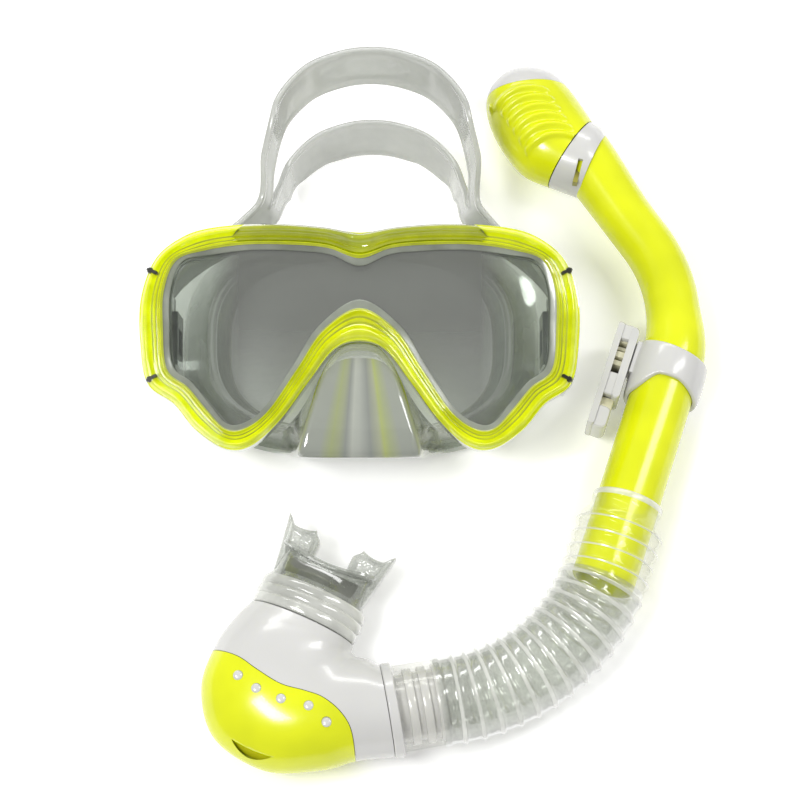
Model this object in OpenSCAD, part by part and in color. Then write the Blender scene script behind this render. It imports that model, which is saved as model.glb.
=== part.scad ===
// Snorkel mask set: a single-lens mask with its head strap, and the matching dry-top snorkel
// that clips to the strap. Both lie on a table, the lens facing up.
// +Z is up from the table, +X is the wearer's left, and the origin lies on the table below
// the middle of the lens. All sizes are in millimetres.

/* [Mask] */
// Width of the mask frame
mask_w = 169; // [164:1:172]
// Height of the middle of the lens above the table
lens_h = 50; // [48:1:54]
// Lean of the lens towards the nose side, in degrees
lens_tilt = 14; // [12:1:16]
// Thickness of the tempered lens
lens_t = 3.4; // [3:0.1:4]
// Height of the front bezel above the lens face
bezel_h = 4; // [3:0.1:5]
// Wall of the silicone skirt
skirt_t = 1.8; // [1.4:0.1:2.2]
// Half width of the face seal
seal_a = 72; // [68:1:74]
// Half height of the face seal
seal_b = 47.5; // [46:0.5:50]

/* [Strap] */
// Thickness of the silicone strap
strap_t = 2.2; // [1.8:0.1:2.6]
// Width of each band of the split strap
band_w = 19; // [16:1:22]
// Distance between the middles of the two bands
band_gap = 40; // [36:1:42]
// Radius of the pin each buckle swivels on
pivot_r = 2; // [1.8:0.1:2.4]

/* [Snorkel] */
// Outside diameter of the rigid tube
tube_d = 24.6; // [23:0.1:26]
// Wall of the rigid tube
tube_wall = 1.7; // [1.4:0.1:2.2]
// Outside diameter of the flexible hose
hose_d = 35; // [34:0.5:36]
// Height of the snorkel's middle plane above the table
snorkel_h = 18.8; // [18.6:0.1:22]
// Radius of the upper bend
bend_r = 62; // [60:1:64]
// Radius of the hose bend at rest
hose_bend_r = 75; // [73:1:77]

/* [Hidden] */
$fn = 64;
gap = 0.15;                 // clearance between parts that touch
slide_gap = 0.3;            // clearance between parts that slide
run_gap = 0.08;             // radial clearance of parts that turn in each other
yellow = [0.86, 0.93, 0.07];
clear = [0.86, 0.9, 0.88];
smoke = [0.2, 0.26, 0.3];
white = [0.93, 0.93, 0.91];
steel = [0.7, 0.72, 0.74];

// ---------------------------------------------------------------- helpers
function lerp(a, b, f) = a + (b - a) * f;
function clamp01(t) = min(1, max(0, t));
function smooth(t) = let (c = clamp01(t)) c * c * (3 - 2 * c);
function heading(h) = [cos(h), sin(h)];
function unit(v) = v / max(norm(v), 1e-6);

// A point on the Catmull-Rom curve from b to c
function spline(a, b, c, d, t) =
    0.5 * (2 * b + (c - a) * t + (2 * a - 5 * b + 4 * c - d) * t * t + (3 * b - a - 3 * c + d) * t * t * t);
function closed_curve(p, steps) = let (n = len(p)) [
    for (i = [0 : n - 1], j = [0 : steps - 1])
        spline(p[(i + n - 1) % n], p[i], p[(i + 1) % n], p[(i + 2) % n], j / steps)
];
function open_curve(p, steps) = let (n = len(p)) [
    for (i = [0 : n - 2], j = [0 : steps - 1])
        spline(p[max(i - 1, 0)], p[i], p[i + 1], p[min(i + 2, n - 1)], j / steps),
    p[n - 1]
];

// A solid skinned over rings with the same number of points. With loop the last ring meets the first.
module skin(rings, loop = false) {
    n = len(rings[0]);
    m = len(rings);
    sides = [
        for (k = [0 : loop ? m - 1 : m - 2], i = [0 : n - 1])
            let (a = k * n + i, b = k * n + (i + 1) % n, c = ((k + 1) % m) * n + (i + 1) % n,
                 d = ((k + 1) % m) * n + i)
            each [[a, b, c], [a, c, d]]
    ];
    ends = loop ? [] : [[for (i = [n - 1 : -1 : 0]) i], [for (i = [0 : n - 1]) (m - 1) * n + i]];
    polyhedron(points = [for (r = rings) each r], faces = concat(sides, ends), convexity = 8);
}

// A moulding cut and joined as one smooth-skinned piece, at its own size
module moulding() resize([0, 0, 0]) children();

// Places the mask's own frame (x across, y up the face, z out of the lens) on the table
module on_table() translate([0, 0, lens_h]) rotate([lens_tilt, 0, 0]) children();
module both_sides() { children(); mirror([1, 0, 0]) children(); }

// ---------------------------------------------------------------- mask outlines
mask_k = mask_w / 169;
// Right half of the frame's inner and outer edges, from the brow notch to the top of the nose
inner_half = [
    [0, 30.3], [12, 34.2], [25, 35.5], [44, 35.6], [60, 33.2], [70.5, 29.3], [75, 18], [75.3, 4],
    [73.6, -12.5], [65.5, -19.5], [58, -28.5], [51, -35.3], [44, -35.2], [35, -28.4], [24, -12.2],
    [14.2, 2.4], [0, 11]
];
outer_half = [
    [0, 40.6], [15, 42.8], [36, 44], [57, 42.4], [69, 38.4], [79, 29.5], [84.2, 14], [84, -4],
    [81, -18.5], [71, -26], [62.5, -36], [51, -43.3], [41, -42], [30, -32], [19, -17],
    [9.6, -5], [0, -1.7]
];
function whole(half) = mask_k * concat(half, [for (i = [len(half) - 2 : -1 : 1]) [-half[i].x, half[i].y]]);
rim_steps = 3;
inner_rim = closed_curve(whole(inner_half), rim_steps);
outer_rim = closed_curve(whole(outer_half), rim_steps);
rim_n = len(inner_rim);
// The outline a share f of the way from the frame's inner edge to its outer edge
function rim(i, f) = lerp(inner_rim[i], outer_rim[i], f);
module rim_shape(f) polygon([for (i = [0 : rim_n - 1]) rim(i, f)]);
module rim_band(f_in, f_out, z0, z1)
    translate([0, 0, z0]) linear_extrude(z1 - z0) difference() { rim_shape(f_out); rim_shape(f_in); }
// A ring swept round the rim from a profile of [share, height] points
module rim_sweep(profile)
    skin([for (i = [0 : rim_n - 1]) [for (p = profile) concat(rim(i, p.x), p.y)]], loop = true);

seat_out = 0.42;            // share of the rim taken by the skirt's seat
seat_in = -0.27;            // the seat's lip, inside the frame's inner edge
lens_edge = 0.3;            // the lens reaches this share into the rim
seat_front = 1.2;           // front face of the skirt's seat
seat_back = -lens_t - 2.2;  // back face of the skirt's seat
frame_back = seat_back - 4.6;

module bezel_ring() rim_sweep([
    [0, seat_front + gap], [0.02, seat_front + 1.4], [0.3, bezel_h], [0.7, bezel_h - 0.5],
    [0.96, 1], [1, -2], [1, seat_back - 2.2], [0.66, seat_back - 2.2], [0.66, seat_back - gap],
    [0.5, seat_back], [0.5, seat_front + gap]
]);
module front_bezel() color(yellow) on_table() moulding() difference() {
    bezel_ring();
    rim_clips(0.25, 20);
}

lug_x = 81 * mask_k;        // middle of the lug that carries a buckle
lug_y = 2;
lug_z = -25;
lug_t = 2.6;
lug_r = 6;
lug_h = frame_back + 1 - lug_z;
module at_lug() translate([lug_x, lug_y, lug_z]) rotate([0, 90, 0]) children();
module rear_frame() color(yellow) on_table() difference() {
    union() {
        rim_band(0, 0.62, frame_back + 1.6, seat_back - 2 * gap);
        rim_band(0.3, 0.97, frame_back, seat_back - 2.2 - gap);
        both_sides() {
            at_lug() cylinder(r = lug_r, h = lug_t, center = true);
            translate([lug_x - lug_t / 2, lug_y - lug_r, lug_z]) cube([lug_t, 2 * lug_r, lug_h]);
        }
    }
    both_sides() at_lug() cylinder(r = pivot_r + 0.02, h = 3 * lug_t, center = true);
    rim_clips(0.25, 20);
}

// Four small latches that hold the bezel to the rear frame at the ends of the side panels
clip_places = [[80.3, 24.5], [80.2, -16.5]];
clip_size = [4, 4.4];
module rim_clips(grow, height) both_sides() for (p = clip_places)
    translate([p.x * mask_k - clip_size.x / 2 - grow, p.y - clip_size.y / 2 - grow, frame_back - 1])
        cube([clip_size.x + 2 * grow, clip_size.y + 2 * grow, height]);
module bezel_clips() color(smoke) on_table() rim_clips(0, 11.4);

module lens() color(clear) on_table()
    translate([0, 0, -lens_t]) linear_extrude(lens_t) rim_shape(lens_edge);

// ---------------------------------------------------------------- skirt
waist_a = 59;               // half width of the skirt's waist
waist_b = 37;               // half height of the waist
waist_z = -30;              // depth of the waist behind the lens
nose_bottom = -42;          // lowest point of the nose pocket
nose_front = 1.5;           // how far the nose pocket stands out of the lens plane
seal_y = 3.5;               // middle of the face seal up the face
squareness = 2.8;           // 2 would make the seal an ellipse
function power(v, e) = sign(v) * pow(abs(v), e);
// A point at angle a of a rounded oblong, mirrored on the left half of the rim
function oblong(i, a, b, cy) = let (
    left = i > rim_n / 2,
    q = (left ? rim_n - i : i) / (rim_n / 2),
    w = 90 - 180 * q - 8 * sin(180 * q))
    [(left ? -1 : 1) * a * power(cos(w), 2 / squareness), cy + b * power(sin(w), 2 / squareness)];
// 1 in front of the nose, 0 beside it
function nose(i) = let (q = abs(2 * i / rim_n - 1), d = 180 * q - 8 * sin(180 * q))
    smooth((23 - d) / 9);
// Depth of the table below a point of the mask, with the seal's middle raised by up to seal_rise
seal_rise = 2.5;
function table_z(p) =
    -(lens_h + p.y * sin(lens_tilt)) / cos(lens_tilt) + seal_rise * (1 - pow(p.x / seal_a, 2)) + 0.4;

function mix3(side, side_z, front, front_z, i) =
    lerp(concat(side, side_z), concat(front, front_z), nose(i));
// The edge of the face seal, moved in by so much at its sides and at its top and bottom
function seal(i, in_a, in_b) = oblong(i, seal_a - in_a, seal_b - in_b, seal_y);
function waist(i, wider, taller) = oblong(i, waist_a + wider, waist_b + taller, 2);
function nose_xy(i, y, w) = [oblong(i, waist_a, waist_b, 2).x * w, y];
// The outside of the skirt at station k, from the back of the seat to the edge of the face seal
function skirt_out(i, k) =
    k == 0 ? concat(rim(i, 0), seat_back) :
    k == 1 ? concat(rim(i, -0.1), frame_back - 1.6) :
    k == 2 ? mix3(waist(i, 4, 1), -17, rim(i, 1.16), frame_back, i) :
    k == 3 ? mix3(waist(i, 1, 0), -24, rim(i, 1.2), -2, i) :
    k == 4 ? mix3(waist(i, 0, 0), waist_z, nose_xy(i, nose_bottom, 1), nose_front, i) :
    k == 5 ? mix3(waist(i, 4, 5), -36, nose_xy(i, nose_bottom - 4, 1.05), -8, i) :
    let (p = seal(i, 0, 0)) concat(p, table_z(p) + 4);
// The wall's direction from its outside to its inside at station k
function skirt_in(i, k) = let (
    p = skirt_out(i, k),
    side = concat(-unit([p.x, p.y]), -0.2),
    front = nose_in[k])
    p + skirt_t * lerp(side, front, nose(i));
nose_in = [[0, 0.2, -1], [0, 0.2, -1], [0, -1, -0.2], [0, -0.8, -0.8], [0, 0.7, -0.8], [0, 1, 0], [0, 1, 0]];
function skirt_ring(i) = let (f = seal(i, 1, 1), g = seal(i, 19, 12)) concat(
    [concat(rim(i, seat_in), seat_front), concat(rim(i, seat_out), seat_front)],
    [concat(rim(i, seat_out), seat_back)],
    [for (k = [0 : 6]) skirt_out(i, k)],
    [concat(f, table_z(f)), concat(g, table_z(g) + 1.5), concat(g, table_z(g) + 2.7)],
    [for (k = [6 : -1 : 1]) skirt_in(i, k) + (k == 6 ? [0, 0, 1] : [0, 0, 0])],
    [concat(rim(i, seat_in - 0.03), seat_back + 0.6), concat(rim(i, seat_in), -lens_t - gap),
     concat(rim(i, lens_edge + 0.02), -lens_t - gap), concat(rim(i, lens_edge + 0.02), gap),
     concat(rim(i, seat_in), gap)]
);
module silicone_skirt() color(clear) on_table()
    skin([for (i = [0 : rim_n - 1]) skirt_ring(i)], loop = true);

// ---------------------------------------------------------------- buckles
slot_x = 75 * mask_k;       // middle of the strap where it passes through a buckle
slot_w = 18;                // width of the strap there
buckle_w = slot_w + 4;
buckle_t = 7.6;
buckle_y = [-9, 12];
lever_y = -12;
lever_z = lug_z;
roller_y = 9;
roller_x = slot_x - strap_t / 2 - 1.55;
lever_x = slot_x + 3.3;     // the lever's hinge, outside the strap
barrel_r = 1.9;
lever_w = slot_w - 2.8;
lever_l = 7.5;
pin_x = slot_x + strap_t / 2 + slide_gap + 0.2;     // the pivot pin ends beside the strap's slot
module side(s) mirror([s < 0 ? 1 : 0, 0, 0]) on_table() children();
module along_x() rotate([0, 90, 0]) children();

module pivot_pin(s) color(steel) side(s) {
    translate([pin_x, lug_y, lug_z]) along_x() cylinder(r = pivot_r, h = lug_x + lug_t / 2 + 0.6 - pin_x);
    translate([lug_x + lug_t / 2 + gap, lug_y, lug_z]) along_x() cylinder(r = pivot_r + 1.4, h = 1.2);
}
module buckle(s) color(smoke) side(s) difference() {
    union() {
        translate([slot_x - buckle_t / 2, buckle_y[0], lug_z - buckle_w / 2])
            cube([buckle_t, buckle_y[1] - buckle_y[0], buckle_w]);
        for (z = [-1, 1]) translate([lever_x, lever_y, lug_z + z * (buckle_w / 2 - 1.5)]) {
            cylinder(r = barrel_r, h = 3, center = true);
            translate([-barrel_r, 0, -1.5]) cube([2 * barrel_r, 4, 3]);
        }
    }
    translate([slot_x - strap_t / 2 - slide_gap, -40, lug_z - slot_w / 2 - 0.4])
        cube([strap_t + 2 * slide_gap, 80, slot_w + 0.8]);
    translate([slot_x - buckle_t / 2 - 1, -4, lug_z - slot_w / 2 + 2]) cube([buckle_t / 2, 10, slot_w - 4]);
    translate([slot_x, lug_y, lug_z]) along_x() cylinder(r = pivot_r + 0.05, h = 20);
    translate([roller_x + 0.35, roller_y, lug_z]) cylinder(r = 1.25, h = slot_w + 3, center = true);
    translate([lever_x, lever_y, lug_z]) cylinder(r = 1.05, h = 80, center = true);
}
// The roller lies in the buckle's inner wall, under the strap
module strap_roller(s) color(steel) side(s)
    translate([roller_x, roller_y, lug_z]) cylinder(r = 0.8, h = slot_w + 2, center = true);
module lever_pin(s) color(steel) side(s)
    translate([lever_x, lever_y, lug_z]) cylinder(r = 1, h = buckle_w, center = true);
module release_lever(s) color(smoke) side(s) translate([lever_x, lever_y, lug_z]) difference() {
    union() {
        cylinder(r = barrel_r, h = lever_w, center = true);
        translate([-0.4, -lever_l, -lever_w / 2]) cube([barrel_r + 0.4, lever_l, lever_w]);
    }
    cylinder(r = 1.05, h = 80, center = true);
}

// ---------------------------------------------------------------- strap
// Right half of the strap's middle line, from its tail at the buckle to the back of the head
strap_half = [
    [75, -17, -25], [75, -4, -25], [75, 17, -25], [74.2, 22.5, -25.6], [64, 34, -27.5], [48, 47, -30.5],
    [40.5, 56, -33], [38.5, 69, -36], [34, 84, -40], [24, 95.5, -43], [12, 101, -44.3], [0, 102.7, -44.6]
];
strap_lean = 4;             // the loop lies this far to one side
strap_steps = 3;
function strap_x(p) = [p.x * mask_k, p.y, p.z];
strap_line = let (h = [for (p = strap_half) strap_x(p)], m = [for (p = h) [-p.x, p.y, p.z]])
    open_curve(concat(m, [for (i = [len(h) - 2 : -1 : 0]) h[i]]), strap_steps);
strap_n = len(strap_line);
// 0 at the buckle, 1 where the bands are fully apart
function strap_split(p) = smooth((p.y - 52) / 34);
function strap_back(p) = smooth((p.y - 20) / 50);
function strap_lift(p) = let (b = strap_back(p), a = lerp(0, 33, b))
    unit([0.3 * sign(p.x) * b * (1 - strap_split(p)), sin(a), cos(a)]);
function strap_at(u) = let (i = floor(u)) lerp(strap_line[i], strap_line[min(i + 1, strap_n - 1)], u - i);
// A strip along the strap's line; edges holds its half width at the buckles and at the back
module strap_strip(edges, half_t, stations) skin([for (u = stations) let (
    p = strap_at(u),
    t = unit(strap_at(min(u + 1, strap_n - 1)) - strap_at(max(u - 1, 0))),
    up = unit(strap_lift(p) - t * (strap_lift(p) * t)),
    out = unit(cross(t, up)) * half_t,
    half = up * lerp(edges[0], edges[1], strap_split(p)),
    c = p + [strap_lean * strap_back(p), 0, 0])
    [c - half - out, c - half + out, c + half + out, c + half - out]
]);
// The slit between the bands is cut at stations half way between those of the strap
slit_stations = [for (i = [0 : strap_n - 2]) if (strap_split(strap_at(i + 0.45)) > 0.09) i + 0.45];
module head_strap() color(clear) on_table() moulding() difference() {
    strap_strip([slot_w / 2, (band_gap + band_w) / 2], strap_t / 2, [0 : strap_n - 1]);
    strap_strip([-0.4, (band_gap - band_w) / 2], 2 * strap_t, slit_stations);
}

// ---------------------------------------------------------------- snorkel spine
tube_r = tube_d / 2;
hose_r = hose_d / 2;
start = [94.2, 87.2];       // where the tube meets the top collar
h1 = -56.3;                 // headings along the spine, seen from above
turn1 = 52.2;
turn2 = 61.5;
h2 = h1 - turn1;
h3 = h2 - turn2;
straight1 = 69.4 - bend_r * tan(turn1 / 2);
straight2 = 164.2 - bend_r * tan(turn1 / 2) - hose_bend_r * tan(turn2 / 2);
straight3 = 68.1 - hose_bend_r * tan(turn2 / 2);
function bend_centre(p, h, r) = p + r * [sin(h), -cos(h)];
p1 = start + straight1 * heading(h1);
c1 = bend_centre(p1, h1, bend_r);
p2 = c1 + bend_r * heading(h2 + 90);
p3 = p2 + straight2 * heading(h2);
c2 = bend_centre(p3, h2, hose_bend_r);
p4 = c2 + hose_bend_r * heading(h3 + 90);
p5 = p4 + straight3 * heading(h3);

// Children with +Z along heading h, at distance s from p, and +X down towards the table
module ahead(p, h, s = 0) translate([p.x, p.y, snorkel_h]) rotate([0, 90, h]) translate([0, 0, s]) children();
module bend_rod(c, r_bend, h_end, turn, r)
    translate([c.x, c.y, snorkel_h]) rotate([0, 0, h_end + 90]) rotate_extrude(angle = turn)
        translate([r_bend, 0]) circle(r);

tube_in_collar = 9;             // the rigid tube reaches this far into the top collar
tube_in_hose = straight2 + 6;   // it ends this far along the lower straight
// The spine of the rigid tube as a solid rod; the bend is a hair thinner than its straights
module tube_rod(r, more) {
    ahead(start, h1, -tube_in_collar - more) cylinder(r = r, h = straight1 + tube_in_collar + 0.5 + more);
    bend_rod(c1, bend_r, h2, turn1, r - 0.04);
    ahead(p2, h2, -0.5) cylinder(r = r, h = tube_in_hose + 0.5 + more);
}
module snorkel_tube() color(yellow) difference() {
    tube_rod(tube_r, 0);
    tube_rod(tube_r - tube_wall, 1);
}

// ---------------------------------------------------------------- dry top
// Each section is [far edge, near edge, half thickness]
cap_sections = [
    [[94.8, 106.4], [76, 79.5], 14.5], [[90.5, 114], [66, 84.5], 15.8], [[85, 122.5], [58.5, 94], 16],
    [[79, 129], [53.5, 104], 15], [[71, 131.5], [51.3, 113], 12.5], [[63.5, 130.8], [51.8, 119.5], 8.5],
    [[58.5, 128], [54, 124.5], 3]
];
ring_n = 28;
// The ring of a section, moved in by t
function section_ring(s, t, n = ring_n) =
    let (c = (s[0] + s[1]) / 2, a = (s[1] - s[0]) / 2, k = max(0.2, 1 - t / norm(a)))
    [for (j = [0 : n - 1]) let (w = -360 * j / n)
        concat(c + a * k * cos(w), snorkel_h + max(0.6, s[2] - t) * sin(w))];
function sections_between(s, steps) = let (q = [for (e = s) concat(e[0], e[1], e[2])])
    [for (e = open_curve(q, steps)) [[e[0], e[1]], [e[2], e[3]], e[4]]];
cap_curve = sections_between(cap_sections, 2);
module cap_body(t) skin([for (s = cap_curve) section_ring(s, t)]);
// The hollow stops short of the tip
module cap_shell() difference() {
    cap_body(0);
    difference() { cap_body(1.8); cap_tip(); }
}
module cap_tip() translate([59, 121, 0]) rotate([0, 0, 45]) translate([-30, 0, 0]) cube([60, 30, 60]);
// An upright plane parts the cap; the far side is the white back shell
module behind_part_line(back) translate([64.6, 119.4, snorkel_h]) rotate([0, 0, 6.5])
    translate([-60, back, -60]) cube([120, 60, 120]);
module splash_cap() color(yellow) moulding() difference() { cap_shell(); behind_part_line(0); }
module cap_back() color(white) moulding() intersection() { cap_shell(); behind_part_line(gap); }
collar_sections = [
    [[100.2, 99.9], [88.2, 74.6], 13.4], [[98.3, 103.2], [84, 76.3], 14.2], [[95, 106], [76.4, 79.4], 14.3]
];
module top_collar() color(white) moulding() difference() {
    skin([for (s = sections_between(collar_sections, 3)) section_ring(s, 0)]);
    ahead(start, h1, -tube_in_collar - gap) cylinder(r = tube_r + gap, h = 30);
    ahead([85.4, 93], 135, -12) cylinder(r = 9.4, h = 40);
}
float_dir = 135;
float_base = [85.4, 93];
module float_cage() color(white) difference() {
    ahead(float_base, float_dir, 1) cylinder(r = 9.2, h = 24);
    ahead(float_base, float_dir, -1) cylinder(r = 8, h = 24);
    for (a = [0 : 60 : 300])
        ahead(float_base, float_dir, 14) rotate([0, 0, a]) cube([30, 3.5, 10], center = true);
}
module float_valve() color("darkorange") difference() {
    ahead(float_base, float_dir, 4.2) cylinder(r = 7.5, h = 11);
    ahead(float_base, float_dir, 6) cylinder(r = 6.3, h = 20);
}
module float_seal() color(clear) ahead(float_base, float_dir, 2.6) cylinder(r = 6.8, h = 1.5);

// ---------------------------------------------------------------- keeper
keeper_s = 3.4;             // middle of the keeper ring along the lower straight
ring_half = 6.8;
ring_t = 1.9;               // wall of the ring
wings = [[-1, 17], [1, 12]];    // side of each wing of the ring, and how far it reaches towards the hose
wing_at = 8;                // the wings start this far from the tube's middle plane
clip_len = 45;
clip_mid = 10.6;            // middle of the clip past the middle of the ring
clip_r0 = 15.4;             // the clip plate starts this far from the tube's axis
clip_r1 = 24.5;
clip_th = 15;
// Local frame of the keeper: +Z along the tube towards the hose, -Y towards the mask
module at_keeper() ahead(p2, h2, keeper_s) children();
module ring_wing(w) intersection() {
    cylinder(r = tube_r + ring_t, h = w[1]);
    translate([-20, w[0] > 0 ? wing_at : -20 - wing_at, 0]) cube([40, 20, w[1]]);
}
module keeper_ring() color(white) at_keeper() difference() {
    union() {
        cylinder(r = tube_r + ring_t, h = 2 * ring_half, center = true);
        for (w = wings) ring_wing(w);
        translate([-5.5, -clip_r0 + 0.3, -ring_half]) cube([11, 6, 2 * ring_half]);
        translate([-2.2, -clip_r0 - 1.2, -ring_half]) cube([4.4, 4, 2 * ring_half]);
        translate([-4, -clip_r0 - 2.6, -ring_half]) cube([8, 1.8, 2 * ring_half]);
    }
    cylinder(r = tube_r + run_gap, h = 60, center = true);
}
slot_len = 34;              // length of the slot for the mask strap
windows = [[-6, 9.5], [19.3, 29]];  // ends of the two windows along the clip
groove_len = clip_len + ring_half + slide_gap;
module keeper_clip() color(white) at_keeper() difference() {
    translate([-clip_th / 2, -clip_r1, clip_mid - clip_len / 2]) cube([clip_th, clip_r1 - clip_r0, clip_len]);
    // the rail's groove, so that the clip slides off towards the hose
    translate([-2.2 - slide_gap, -clip_r0 - 2, -clip_len]) cube([4.4 + 2 * slide_gap, 4, groove_len]);
    translate([-4 - slide_gap, -clip_r0 - 2.6 - slide_gap, -clip_len])
        cube([8 + 2 * slide_gap, 1.8 + 2 * slide_gap, groove_len]);
    translate([-clip_th, -22.4, clip_mid - slot_len / 2]) cube([2 * clip_th, 3, slot_len]);
    for (w = windows) translate([-clip_th, -clip_r1 + 0.9, w[0]]) cube([clip_th * 0.75, 3, w[1] - w[0]]);
}

// ---------------------------------------------------------------- hose
hose_from = 60;             // the hose's cuff starts this far along the lower straight
rib_pitch = 6;
rib_t = 2.4;
hose_end = 1.2;             // the hose stops this far short of the spigot's flange
hose_core = hose_r - 1.9;   // the hose's radius between its ribs
hose_bore = hose_core - 1;
bend_ribs = floor(hose_bend_r * turn2 * PI / 180 / rib_pitch);
// The spine of the hose as a solid rod; the bend is a hair thinner than its straights
module hose_rod(r, from, more) {
    ahead(p2, h2, from) cylinder(r = r, h = straight2 - from + 0.5);
    bend_rod(c2, hose_bend_r, h3, turn2, r - 0.04);
    ahead(p4, h3, -0.5) cylinder(r = r, h = straight3 - hose_end + 0.5 + more);
}
module rib() cylinder(r = hose_r, h = rib_t, center = true);
module hose_ribs() {
    for (s = [hose_from + 13 : rib_pitch : straight2 - 1]) ahead(p2, h2, s) rib();
    for (k = [0 : bend_ribs - 1]) let (a = h2 + 90 - turn2 * (k + 0.5) / bend_ribs)
        translate([c2.x, c2.y, snorkel_h]) rotate([0, 0, a]) translate([hose_bend_r, 0, 0])
            rotate([90, 0, 0]) rib();
    for (s = [3 : rib_pitch : straight3 - 10]) ahead(p4, h3, s) rib();
}
module flex_hose() color(clear) difference() {
    union() {
        hose_rod(hose_core, hose_from + 9, 0);
        ahead(p2, h2, hose_from) cylinder(r = tube_r + 1.5, h = 3.5);
        ahead(p2, h2, hose_from + 3) cylinder(r1 = tube_r + 1.5, r2 = hose_r - 0.3, h = 8);
        hose_ribs();
    }
    ahead(p2, h2, hose_from - 1) cylinder(r = tube_r + gap, h = 12);
    hose_rod(hose_bore, hose_from + 10.6, 1);
}
spigot_r = 12.9;
spigot_len = 20;
module hose_spigot() color(white) ahead(p5, h3, -spigot_len) difference() {
    union() {
        cylinder(r = spigot_r, h = spigot_len + 9);
        for (s = [1, 6.5, 12]) translate([0, 0, s]) cylinder(r = hose_bore - 0.05, h = 3.2);
        translate([0, 0, spigot_len - 1]) cylinder(r = hose_r + 0.4, h = 3.8);
    }
    translate([0, 0, -1]) cylinder(r = spigot_r - 1.8, h = spigot_len + 12);
}

// ---------------------------------------------------------------- purge chamber
body_sections = [
    [[7.55, -121.55], [13.56, -155.63], 17.3], [[3, -119.2], [-1, -157.4], 17.7],
    [[-1, -118.2], [-14, -160.8], 18.2], [[-2, -117.4], [-35, -161], 18.5], [[-2.6, -116.8], [-54, -149], 18.5],
    [[-2.9, -116.2], [-59.4, -130], 18], [[-2.9, -115.5], [-54.2, -113], 17],
    [[-2.7, -114.8], [-47.4, -103], 15.4], [[-2.4, -113.9], [-41.2, -96.7], 14]
];
body_curve = sections_between(body_sections, 2);
port = [-21.8, -105.3];
port_h = 66.1;              // heading of the mouthpiece port
shell_t = 1.9;
module body_skin(t) skin([for (s = body_curve) section_ring(s, t)]);
// Area below the wavy edge of the purge cover, seen from above
cover_edge = [
    [-66, -112], [-53.5, -117], [-44.5, -121.3], [-37.6, -126.5], [-28.6, -132.2], [-19.5, -134.8],
    [-12.8, -137.3], [-6, -143], [-2, -150.5], [-0.2, -166]
];
module cover_area(grow) translate([0, 0, -1]) linear_extrude(60) offset(delta = grow)
    polygon(concat(open_curve(cover_edge, 3), [[-70, -166]]));
valve_at = [-39, -142.8];
valve_h = 214;              // heading of the purge valve, away from the chamber
module at_valve(s = 0) ahead(valve_at, valve_h, s) children();
valve_r = 10;
lip_a = 18.4;               // half width of the port's lip
lip_b = 12.2;               // half height of the port's lip
lip_t = 1.8;
// The solid neck that the spigot turns in, and the wall that holds the valve seat
module chamber_walls() {
    ahead(p5, h3, -10) cylinder(r = 40, h = 20);
    at_valve(2.1) cylinder(r = 40, h = 2.4);
}
module purge_housing() color(white) moulding() difference() {
    union() {
        body_skin(shell_t + gap);
        difference() { body_skin(0); cover_area(0.3); }
        at_port() skin([oval(-2, lip_a, lip_b), oval(11, lip_a, lip_b)]);
    }
    difference() { body_skin(2 * shell_t); chamber_walls(); }
    ahead(p5, h3, -3) cylinder(r = spigot_r + run_gap, h = 15);
    at_port() skin([oval(-4, lip_a - lip_t, lip_b - lip_t), oval(20, lip_a - lip_t, lip_b - lip_t)]);
    at_valve(2) cylinder(r = valve_r + 1.6, h = 40);
}
dot_places = [[-44.4, -128.5], [-37.5, -133.7], [-28.3, -137.8], [-18.1, -140.4], [-11.5, -146.2]];
module purge_cover() color(yellow) moulding() difference() {
    intersection() { body_skin(0); cover_area(0); }
    body_skin(shell_t);
    for (p = dot_places) translate([p.x, p.y, snorkel_h]) cylinder(r = 1.7, h = 30, $fn = 16);
    translate([-39.2, -155, snorkel_h + 1]) rotate([0, 0, -24]) scale([7, 2, 1])
        cylinder(r = 1, h = 30, $fn = 20);
}
// A spoked ring that the purge flap closes
module valve_seat() color(white) at_valve(2.1) difference() {
    cylinder(r = valve_r + 1.5, h = 1.8);
    difference() {
        translate([0, 0, -1]) cylinder(r = valve_r - 1.5, h = 6);
        for (a = [0, 90]) rotate([0, 0, a]) cube([2, 40, 20], center = true);
        translate([0, 0, -2]) cylinder(r = 3, h = 10);
    }
    translate([0, 0, -1]) cylinder(r = 1.3, h = 6);
}
module purge_valve() color(clear) at_valve(2.1) {
    translate([0, 0, -2.4]) cylinder(r = 1.25, h = 5);
    translate([0, 0, 1.85]) cylinder(r = valve_r - 0.4, h = 0.9);
    translate([0, 0, -3.4]) cylinder(r = 2.1, h = 1.1);
}

// ---------------------------------------------------------------- mouthpiece
// Local frame: +Z out of the port, X up from the table, Y along the width of the mouth
module at_port(s = 0) ahead(port, port_h, s) children();
function oval(z, a, b, n = 32) = [for (j = [0 : n - 1]) [b * cos(360 * j / n), -a * sin(360 * j / n), z]];
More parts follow.
